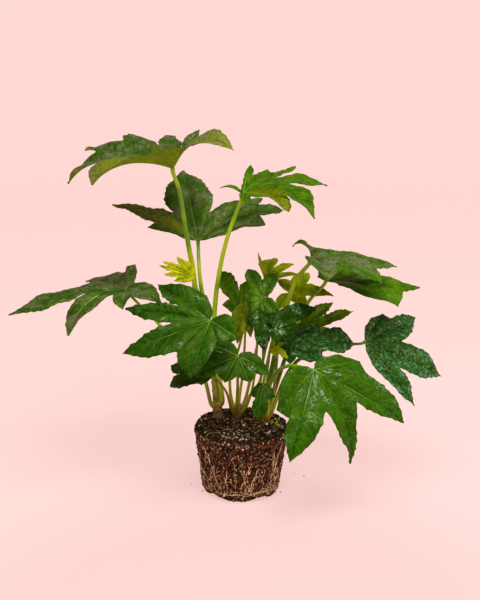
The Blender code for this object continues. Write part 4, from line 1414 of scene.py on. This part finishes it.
def fine_track(heading, top, chance):
    """Headings and heights of a fine root that comes down the side more or less straight."""
    drift = chance.uniform(-0.9, 0.9)
    length = chance.uniform(0.35, 1.0) * top
    track = []
    for i in range(FINE_KNOTS + 1):
        height = top - length * i / FINE_KNOTS
        track.append((heading, max(height, 2)))
        heading += drift * length / FINE_KNOTS * 0.5 + chance.gauss(0, 1.5)
    return track


def lay_root(skin, track, thick, chance, taper=0.5, wander=1.0):
    """A root laid on the soil along a track of headings and heights (millimetres), finely stepped."""
    table = np.array(track, float)
    strides = np.hypot(np.diff(table[:, 0]) * DEGREE_REACH, np.diff(table[:, 1]))
    travel = np.concatenate([[0], np.cumsum(strides)])
    steps = max(3, int(travel[-1] / ROOT_STEP))
    beat, shift = chance.uniform(0.25, 0.5), chance.uniform(0, 6)
    route = []
    for i in range(steps + 1):
        s = travel[-1] * i / steps
        heading, height = (float(np.interp(s, travel, table[:, k])) for k in (0, 1))
        heading += wander * (math.sin(s * beat + shift) + 0.5 * math.sin(s * beat * 2.7))
        place, normal = skin.side(heading, max(height, LOWEST_ROOT) * MM)
        if place is None:
            continue
        radius = thick * (1 - taper * i / steps) * (1 + 0.2 * math.sin(s * 1.3 + shift))
        route.append((place + normal * radius * 0.5, radius))
    points = [p for p, _ in route]
    eased = [
        (points[max(i - 1, 0)] + points[i] * 2 + points[min(i + 1, len(points) - 1)]) / 4
        for i in range(len(points))
    ]
    return [(p, r) for p, (_, r) in zip(eased, route)]


def scatter(name, seeds, places, chance):
    """One mesh with a copy of a seed shape at each place, and a tint of its own for each copy.

    A place is a point, a turn and three scales.
    """
    work = bmesh.new()
    tint = work.verts.layers.float.new("tint")
    for k, (point, turn, scales) in enumerate(places):
        before = len(work.verts)
        work.from_mesh(seeds[k % len(seeds)])
        work.verts.ensure_lookup_table()
        fresh = work.verts[before:]
        move = Matrix.Translation(point) @ turn.to_matrix().to_4x4() @ Matrix.Diagonal((*scales, 1.0))
        bmesh.ops.transform(work, matrix=move, verts=fresh)
        own = chance.random()
        for vertex in fresh:
            vertex[tint] = own
    mesh = bpy.data.meshes.new(name)
    work.to_mesh(mesh)
    work.free()
    made = bpy.data.objects.new(name, mesh)
    bpy.context.scene.collection.objects.link(made)
    return made


def grain_seeds(count, subdivisions, rough):
    """A few irregular grains of unit radius, to be copied."""
    seeds = []
    for k in range(count):
        bpy.ops.object.select_all(action="DESELECT")
        bpy.ops.mesh.primitive_ico_sphere_add(subdivisions=subdivisions, radius=1.0)
        grain = bpy.context.object
        mesh = grain.data.copy()
        bpy.data.objects.remove(grain, do_unlink=True)
        for vertex in mesh.vertices:
            vertex.co *= 1 + rough * noise.noise(vertex.co * 1.7 + Vector((k * 7.3, 0, 0)))
        seeds.append(mesh)
    return seeds


def any_turn(chance):
    """A random rotation."""
    turn = Matrix.Rotation(chance.uniform(0, 2 * math.pi), 3, "Z")
    return (turn @ Matrix.Rotation(chance.uniform(0, math.pi), 3, "X")).to_quaternion()


def top_place(skin, chance):
    """A random point and normal on the top of the ball."""
    radius = TOP_REACH * MM * math.sqrt(chance.random())
    turn = chance.uniform(0, 2 * math.pi)
    return skin.top(math.cos(turn) * radius, math.sin(turn) * radius)


def side_place(skin, chance):
    """A random point and normal on the side of the ball."""
    return skin.side(chance.uniform(0, 360), chance.uniform(*SIDE_REACH) * MM)


def fibre_route(place, normal, length, thick, chance):
    """A short bent fibre lying on the soil."""
    way = Vector((chance.uniform(-1, 1), chance.uniform(-1, 1), chance.uniform(-1, 1)))
    way = (way - normal * way.dot(normal)).normalized()
    bend = normal.cross(way) * chance.uniform(-0.5, 0.5) + normal * chance.uniform(-0.1, 0.5)
    route = []
    for i in range(FIBRE_STEPS + 1):
        t = i / FIBRE_STEPS - 0.5
        point = place + way * length * t + bend * length * (0.25 - t * t) + normal * thick * 0.6
        route.append((point, thick * (1 - abs(t) * 0.9)))
    return route


def sprout_route(place, length, chance):
    """A short blunt shoot that leans a little."""
    way = Vector((chance.uniform(-0.5, 0.5), chance.uniform(-0.5, 0.3), 1)).normalized()
    girth = length * chance.uniform(0.22, 0.32)
    return [(place + way * length * along, girth * thick) for along, thick in SPROUT_SHAPE]


# stage


def add_floor(settings):
    """A plain pale floor that rises to a low rim far away, lit from within so that it looks even, with a
    dimmer glow in front of the ball that paints its shade.
    """
    floor = add_spun(FLOOR_PROFILE, FLOOR_SIDES, inwards=True)
    bpy.ops.object.shade_smooth()
    floor.name = floor.data.name = "floor"
    finish = Finish("floor")
    away = finish.add("ShaderNodeVectorMath", {"operation": "DISTANCE"}, [finish.place(), PAINTED_SHADE_SPOT], "Value")
    reach = FLOOR_GLOW_AND_SHADE[-1][0]
    stops = [(distance / reach, shade(settings.floor, share)) for distance, share in FLOOR_GLOW_AND_SHADE]
    # painted shade: the glow is dimmest in front of the ball
    glow = finish.ramp(away / reach, stops)
    base = shade(settings.floor, 0.25)
    floor.data.materials.append(finish.surface(
        Base_Color=(*base, 1.0),
        Roughness=0.9,
        Specular_IOR_Level=0.0,
        Emission_Color=glow,
        Emission_Strength=1.0,
    ))


def add_world(settings):
    """Soft light from above all round."""
    world = bpy.data.worlds.new("studio")
    world.use_nodes = True
    backdrop = world.node_tree.nodes["Background"]
    backdrop.inputs["Color"].default_value = (1.0, 0.86, 0.85, 1.0)
    backdrop.inputs["Strength"].default_value = settings.ambient
    bpy.context.scene.world = world


def add_softbox(name, power, size, place, colour):
    """A square area light that faces the plant."""
    light = bpy.data.lights.new(name, "AREA")
    light.energy = power
    light.size = size
    light.color = colour
    made = bpy.data.objects.new(name, light)
    made.location = place
    made.rotation_euler = (Vector(LIGHT_AIM) - place).to_track_quat("-Z", "Y").to_euler()
    bpy.context.scene.collection.objects.link(made)


def develop(view):
    """Plain colours with a touch more depth in the shadows, most of it in the blue."""
    view.view_transform = "Standard"
    view.use_curve_mapping = True
    for curve, knots in zip(view.curve_mapping.curves, (RED_DEPTH, GREEN_DEPTH, BLUE_DEPTH)):
        for knot in knots:
            curve.points.new(*knot)
    view.curve_mapping.update()


# settings


def length_property(name, description, default):
    """A size in metres that a user may change."""
    return FloatProperty(name=name, description=description, default=default, min=0.0, unit="LENGTH")


def colour_property(name, description, default):
    """A linear colour that a user may change."""
    return FloatVectorProperty(
        name=name, description=description, default=default, size=3, min=0.0, max=1.0, subtype="COLOR")


class FatsiaLeaves(bpy.types.PropertyGroup):
    """Sizes and colours of the leaf blades."""

    thickness: length_property("Thickness", "Thickness of a blade between its ribs", 0.0006)
    rib_height: length_property("Rib Height", "Thickness of a blade where a midrib leaves the stalk", 0.0020)
    rib_width: length_property("Rib Half Width", "Half the width of a midrib near the stalk", 0.0006)
    tooth_height: length_property("Tooth Height", "How far the teeth of the edge stand out", 0.0013)
    tooth_spacing: length_property("Tooth Spacing", "Distance between two teeth of the edge", 0.0085)
    vein_spacing: length_property("Vein Spacing", "Distance between two side veins along a midrib", 0.013)
    quilt: length_property("Quilting", "How far the blade swells between its side veins", 0.0004)
    wave: length_property("Edge Wave", "How far the edges of the lobes wave up and down", 0.0016)
    wave_length: length_property("Wave Length", "Length of one wave of the edge", 0.045)
    swell: length_property("Swell", "How far a whole blade swells up and down", 0.0022)
    swell_scale: FloatProperty(name="Swell Scale", description="Swells of a blade to the metre", default=26.0)
    crown: FloatProperty(
        name="Crown", description="Rise of each half of a lobe, of its width", default=0.10, min=0.0)
    glow: FloatProperty(
        name="Glow", description="Share of the light that passes through a blade", default=0.18,
        min=0.0, max=1.0, subtype="FACTOR")
    through: colour_property("Light Through", "Colour of the light that passes through", (0.20, 0.42, 0.01))
    vein: colour_property("Veins", "Colour of the midribs and veins", (0.26, 0.42, 0.08))
    underside: colour_property("Underside", "Colour of the under side", (0.125, 0.205, 0.004))
    faded: colour_property("Faded", "Colour of lobes that are as pale as their back", (0.150, 0.168, 0.005))
    green: colour_property("Green", "Colour of the plain blades", (0.022, 0.075, 0.001))
    grey: colour_property("Grey Green", "Colour of the blades high at the back", (0.026, 0.072, 0.004))
    fresh: colour_property("Fresh Green", "Colour of the fresh blades", (0.040, 0.110, 0.001))
    # partly the blades' own yellowish colour, partly painted light on these blades in shade
    olive: colour_property("Olive", "Colour of the yellowish blades", (0.40, 0.47, 0.006))
    glossy: colour_property("Glossy Green", "Colour of the small shiny blade", (0.06, 0.14, 0.006))
    deep: colour_property("Deep Green", "Colour of the shaded blades", (0.006, 0.034, 0.001))
    dull: colour_property("Dull Green", "Colour of the hanging blade", (0.078, 0.105, 0.003))
    wet: colour_property("Wet Green", "Colour of the wet blade in front", (0.026, 0.092, 0.001))
    pitted: colour_property("Pitted Green", "Colour of the pitted blades", (0.011, 0.064, 0.010))
    # a painted grey sheen, with a little grey bloom, on the upper blades
    dusty: colour_property("Dusty", "Colour of the grey bloom on the upper blades", (0.150, 0.145, 0.095))
    # a painted bluish sheen: the pitted blades' patches and glints, and the wet places
    bloom: colour_property("Blue Bloom", "Colour of the pitted and wet places", (0.085, 0.21, 0.120))
    # pale specks: dust, and painted glints of water droplets
    dust: colour_property("Dust", "Colour of the pale specks on the blades", (0.30, 0.36, 0.24))
    young: colour_property("Young Leaf", "Colour of the unfolding leaf", (0.38, 0.41, 0.006))


class FatsiaStalks(bpy.types.PropertyGroup):
    """Sizes and colours of the stems and leaf stalks."""

    foot_flare: FloatProperty(
        name="Foot Flare", description="How much a stalk widens at its stem", default=0.3, min=0.0)
    neck_swell: FloatProperty(
        name="Neck Swell", description="How much a stalk widens under its blade", default=0.25, min=0.0)
    slimness: FloatProperty(
        name="Slimness", description="Thickness of a stout stalk, of the frame's", default=1.04, min=0.1)
    stalk: colour_property("Stalk", "Colour of the leaf stalks", (0.25, 0.38, 0.003))
    foot: colour_property("Stalk Foot", "Colour of the stalks near the soil", (0.27, 0.18, 0.03))
    stem: colour_property("Stem", "Colour of the green part of a stem", (0.18, 0.19, 0.02))
    bark: colour_property("Bark", "Colour of the woody foot of a stem", (0.26, 0.16, 0.09))


class FatsiaRootBall(bpy.types.PropertyGroup):
    """Sizes, counts and colours of the soil and the roots."""

    lump: FloatProperty(name="Lumps", description="Height of the soil's lumps in millimetres", default=0.9)
    crumb: FloatProperty(name="Crumbs", description="Height of the soil's crumbs in millimetres", default=0.8)
    perlite_count: IntProperty(name="Perlite", description="Number of perlite grains", default=80, min=1)
    crumb_count: IntProperty(name="Peat Crumbs", description="Number of loose crumbs", default=3600, min=1)
    fibre_count: IntProperty(name="Fibres", description="Number of loose fibres", default=560, min=1)
    fine_count: IntProperty(name="Fine Roots", description="Number of fine roots", default=80, min=1)
    hair_count: IntProperty(name="Hair Roots", description="Number of hair roots", default=220, min=1)
    root_thickness: length_property("Root Radius", "Radius of the larger roots on the side", 0.00056)
    dark: colour_property("Dark Peat", "Colour of moist peat", (0.022, 0.010, 0.008))
    red: colour_property("Red Peat", "Colour of the peat on the side", (0.230, 0.100, 0.062))
    perlite: colour_property("Perlite Colour", "Colour of the perlite grains", (0.72, 0.68, 0.63))
    fibre: colour_property("Fibre Colour", "Colour of the loose fibres", (0.60, 0.45, 0.31))
    root_colour: colour_property("Root Colour", "Colour of the roots", (0.84, 0.61, 0.38))


class FatsiaStage(bpy.types.PropertyGroup):
    """The floor, the lights and the camera."""

    floor: colour_property("Floor", "Colour of the floor", (0.985, 0.675, 0.650))
    ambient: FloatProperty(name="Ambient", description="Strength of the light from all round", default=0.28)
    key: FloatProperty(name="Key Light", description="Power of the large light from above", default=44.0)
    fill: FloatProperty(name="Fill Light", description="Power of the light from the right", default=14.0)
    lens: FloatProperty(name="Lens", description="Focal length of the camera in millimetres", default=60.0)
    camera_distance: length_property("Camera Distance", "How far in front the camera stands", 1.148)
    camera_height: length_property("Camera Height", "Height of the camera", 0.563)
    camera_tilt: FloatProperty(
        name="Camera Tilt", description="How far the camera is tipped up from straight down",
        default=math.radians(74.5), subtype="ANGLE")


# steps of the build, each an operator


class FATSIA_OT_soil(bpy.types.Operator):
    """Models the moulded peat"""

    bl_idname = "fatsia.soil"
    bl_label = "Add Soil"

    def execute(self, context):
        settings = context.scene.fatsia_root_ball
        ball = add_ball_mesh(settings)
        ball.name = ball.data.name = "soil"
        finish_piece(ball, ["root_ball"], peat_finish("peat", settings.dark, settings.red))
        return {"FINISHED"}


class FATSIA_OT_grains(bpy.types.Operator):
    """Scatters perlite grains and loose peat crumbs over the soil"""

    bl_idname = "fatsia.grains"
    bl_label = "Add Grains"

    def execute(self, context):
        settings = context.scene.fatsia_root_ball
        skin = Skin(find("soil"))
        chance = random.Random("perlite")
        places = []
        for k in range(settings.perlite_count):
            on_top = k < settings.perlite_count * PERLITE_ON_TOP
            place, normal = top_place(skin, chance) if on_top else side_place(skin, chance)
            size = (0.45 + 1.2 * chance.random() ** 3) * MM * (1.0 if on_top else 0.75)
            scales = [size * chance.uniform(0.75, 1.25) for _ in range(3)]
            places.append((place + normal * size * 0.2, any_turn(chance), scales))
        perlite = scatter("perlite", grain_seeds(6, 2, 0.5), places, chance)
        finish = speckled_finish("perlite", settings.perlite, 0.12, 1400, 0.85, 0.10)
        finish_piece(perlite, (), finish)
        chance = random.Random("crumbs")
        places = []
        for k in range(settings.crumb_count):
            place, normal = top_place(skin, chance) if k % 5 < 3 else side_place(skin, chance)
            size = (0.45 + 1.2 * chance.random() ** 2) * MM
            scales = [size * chance.uniform(0.6, 1.3) for _ in range(3)]
            places.append((place - normal * size * 0.1, any_turn(chance), scales))
        for _ in range(RIM_CRUMBS):
            place, _ = skin.side(chance.uniform(0, 360), chance.uniform(*RIM_HEIGHTS) * MM)
            scales = [chance.uniform(0.7, 1.9) * MM for _ in range(3)]
            places.append((place, any_turn(chance), scales))
        for x, y in FLOOR_CRUMBS:
            size = chance.uniform(0.6, 1.1) * MM
            place = Vector((x * MM, y * MM, size * 1.1))
            places.append((place, any_turn(chance), (size, size * 0.8, size * 0.7)))
        crumbs = scatter("peat_crumbs", grain_seeds(6, 1, 0.5), places, chance)
        finish_piece(crumbs, (), crumb_finish("crumb_peat", settings))
        return {"FINISHED"}


class FATSIA_OT_fibres(bpy.types.Operator):
    """Lays pale fibres on the soil"""

    bl_idname = "fatsia.fibres"
    bl_label = "Add Fibres"

    def execute(self, context):
        settings = context.scene.fatsia_root_ball
        skin = Skin(find("soil"))
        chance = random.Random("fibres")
        routes = []
        for k in range(settings.fibre_count):
            place, normal = top_place(skin, chance) if k % 5 < 3 else side_place(skin, chance)
            length = chance.uniform(2, 9) * MM
            routes.append(fibre_route(place, normal, length, chance.uniform(0.12, 0.34) * MM, chance))
        fibres = add_tubes("fibres", routes, 4)
        finish = speckled_finish("fibre", settings.fibre, 0.55, 1200, 0.85, 0.05)
        finish_piece(fibres, (), finish)
        return {"FINISHED"}


class FATSIA_OT_surface_roots(bpy.types.Operator):
    """Lays the net of larger roots on the side of the root ball"""

    bl_idname = "fatsia.surface_roots"
    bl_label = "Add Surface Roots"

    def execute(self, context):
        settings = context.scene.fatsia_root_ball
        skin = Skin(find("soil"))
        chance = random.Random("surface roots")
        routes = []
        for k, track in enumerate(frame_tracks()):
            thick = settings.root_thickness * (0.4 if k == 0 else chance.uniform(0.6, 1.1))
            routes.append(lay_root(skin, track, thick, chance, taper=0.0 if k == 0 else 0.3))
        roots = add_tubes("root_net", routes, 8)
        finish = root_finish("root_skin", settings.root_colour, settings.red)
        finish_piece(roots, ["surface_roots"], finish)
        return {"FINISHED"}


class FATSIA_OT_fine_roots(bpy.types.Operator):
    """Lays fine roots and hair roots between the larger ones"""

    bl_idname = "fatsia.fine_roots"
    bl_label = "Add Fine Roots"

    def execute(self, context):
        settings = context.scene.fatsia_root_ball
        skin = Skin(find("soil"))
        chance = random.Random("fine roots")
        routes = []
        for k in range(settings.fine_count):
            heading = chance.gauss(ROOT_BUNDLES[k % len(ROOT_BUNDLES)], BUNDLE_SPREAD)
            top = chance.uniform(20, 80)
            track = fine_track(heading, top, chance)
            routes.append(lay_root(skin, track, chance.uniform(0.22, 0.45) * MM, chance, 0.4, 1.6))
        for k in range(settings.hair_count):
            heading = chance.gauss(ROOT_BUNDLES[k % len(ROOT_BUNDLES)], BUNDLE_SPREAD)
            height = chance.uniform(4, 80)
            slope = chance.uniform(-1.5, 1.5)
            length = chance.uniform(5, 16)
            track = [(heading, height), (heading + slope * length * 0.6, max(3, height - length))]
            routes.append(lay_root(skin, track, chance.uniform(0.10, 0.18) * MM, chance, 0.5, 1.2))
        for _ in range(RING_ROOTS):
            heading = chance.uniform(0, 360)
            height = ring_height(heading) + chance.gauss(0, 2.2)
            sweep = chance.uniform(25, 80)
            track = [
                (heading + sweep * i / RING_KNOTS, height + chance.gauss(0, 1.0))
                for i in range(RING_KNOTS + 1)
            ]
            routes.append(lay_root(skin, track, chance.uniform(0.2, 0.5) * MM, chance, 0.3, 0.5))
        roots = add_tubes("fine_roots", routes, 4)
        finish = root_finish("fine_root_skin", shade(settings.root_colour, 0.9), settings.red)
        finish_piece(roots, (), finish)
        return {"FINISHED"}


class FATSIA_OT_stems(bpy.types.Operator):
    """Models the three stems"""

    bl_idname = "fatsia.stems"
    bl_label = "Add Stems"

    def execute(self, context):
        settings = context.scene.fatsia_stalks
        finish = bark_finish("bark", settings.stem, settings.bark)
        for name, knots in STEMS.items():
            trunk = add_tubes(f"trunk_{name}", [stem_route(name, knots)], STEM_SIDES)
            lumps(trunk.data, 210, 0.35 * MM, 4)
            finish_piece(trunk, [f"stem_{name}"], finish)
        return {"FINISHED"}


class FATSIA_OT_sprouts(bpy.types.Operator):
    """Models the little green sprouts between the stems"""

    bl_idname = "fatsia.sprouts"
    bl_label = "Add Sprouts"

    def execute(self, context):
        settings = context.scene.fatsia_stalks
        skin = Skin(find("soil"))
        chance = random.Random("sprouts")
        routes = []
        for x, y, length in SPROUTS:
            place, _ = skin.top(x * MM, y * MM)
            routes.append(sprout_route(place, length * MM, chance))
        sprouts = add_tubes("sprouts", routes, 10)
        finish_piece(sprouts, (), stalk_finish("sprout_skin", settings.stalk, settings.stalk))
        return {"FINISHED"}


class FATSIA_OT_stalks(bpy.types.Operator):
    """Models the leaf stalks"""

    bl_idname = "fatsia.stalks"
    bl_label = "Add Stalks"

    def execute(self, context):
        settings = context.scene.fatsia_stalks
        leaves = context.scene.fatsia_leaves
        finish = stalk_finish("stalk_skin", settings.stalk, settings.foot)
        young = stalk_finish("young_stalk_skin", leaves.young, leaves.young)
        for name, leaf in LEAVES.items():
            route = stalk_route(leaf.blade, leaf.stalk, settings, leaves)
            petiole = add_tubes(f"petiole_{name}", [route], STALK_SIDES)
            is_young = leaf.tone == "young"
            finish_piece(petiole, [f"stalk_{name}"], young if is_young else finish)
        return {"FINISHED"}


class FATSIA_OT_leaves(bpy.types.Operator):
    """Models the leaf blades"""

    bl_idname = "fatsia.leaves"
    bl_label = "Add Leaves"

    def execute(self, context):
        settings = context.scene.fatsia_leaves
        finishes = {}
        for name, tone in TONES.items():
            under = shade(settings.young, 0.85) if name == "young" else shade(settings.underside, tone.under)
            finishes[name] = (leaf_finish(f"leaf_{name}", tone), underside_finish(f"underside_{name}", under))
        for name, leaf in LEAVES.items():
            chance = random.Random(name)
            blade = add_blade_mesh(f"blade_{name}", leaf, chance, settings, finishes[leaf.tone])
            finish_piece(blade, [f"leaf_{name}"])
        return {"FINISHED"}


class FATSIA_OT_stage(bpy.types.Operator):
    """Sets up the floor, the lights and the camera"""

    bl_idname = "fatsia.stage"
    bl_label = "Add Stage"

    def execute(self, context):
        settings = context.scene.fatsia_stage
        add_floor(settings)
        add_world(settings)
        add_softbox("key_light", settings.key, KEY_SIZE, Vector(KEY_PLACE), (1.0, 0.985, 0.97))
        add_softbox("fill_light", settings.fill, FILL_SIZE, Vector(FILL_PLACE), (1.0, 0.98, 0.97))
        camera = bpy.data.cameras.new("camera")
        camera.lens = settings.lens
        camera.sensor_width = 36
        view = bpy.data.objects.new("camera", camera)
        view.location = (CAMERA_ASIDE, -settings.camera_distance, settings.camera_height)
        view.rotation_euler = (settings.camera_tilt, 0, 0)
        context.scene.collection.objects.link(view)
        context.scene.camera = view
        develop(context.scene.view_settings)
        return {"FINISHED"}


class FATSIA_PT_panel(bpy.types.Panel):
    """Sizes, colours and steps of the plant"""

    bl_idname = "FATSIA_PT_panel"
    bl_label = "Fatsia Japonica"
    bl_space_type = "VIEW_3D"
    bl_region_type = "UI"
    bl_category = "Fatsia"

    def draw(self, context):
        layout = self.layout
        for step in STEPS:
            layout.operator(step.bl_idname)
        for name, group in GROUPS.items():
            box = layout.box()
            box.label(text=group.__doc__)
            for key in group.__annotations__:
                box.prop(getattr(context.scene, name), key)


# in the order that they run, since grains and roots are laid on the finished soil
STEPS = (
    FATSIA_OT_soil,
    FATSIA_OT_grains,
    FATSIA_OT_fibres,
    FATSIA_OT_surface_roots,
    FATSIA_OT_fine_roots,
    FATSIA_OT_stems,
    FATSIA_OT_sprouts,
    FATSIA_OT_stalks,
    FATSIA_OT_leaves,
    FATSIA_OT_stage,
)
GROUPS = {
    "fatsia_leaves": FatsiaLeaves,
    "fatsia_stalks": FatsiaStalks,
    "fatsia_root_ball": FatsiaRootBall,
    "fatsia_stage": FatsiaStage,
}
CLASSES = (*GROUPS.values(), *STEPS, FATSIA_PT_panel)


def register():
    """Makes the classes and settings known to Blender."""
    for added in CLASSES:
        bpy.utils.register_class(added)
    for name, group in GROUPS.items():
        setattr(bpy.types.Scene, name, PointerProperty(type=group))


def unregister():
    """Takes them away again."""
    for name in GROUPS:
        delattr(bpy.types.Scene, name)
    for added in reversed(CLASSES):
        bpy.utils.unregister_class(added)


def main():
    """Runs every step."""
    register()
    for step in STEPS:
        getattr(bpy.ops.fatsia, step.bl_idname.split(".")[1])()


if __name__ == "__main__":
    main()
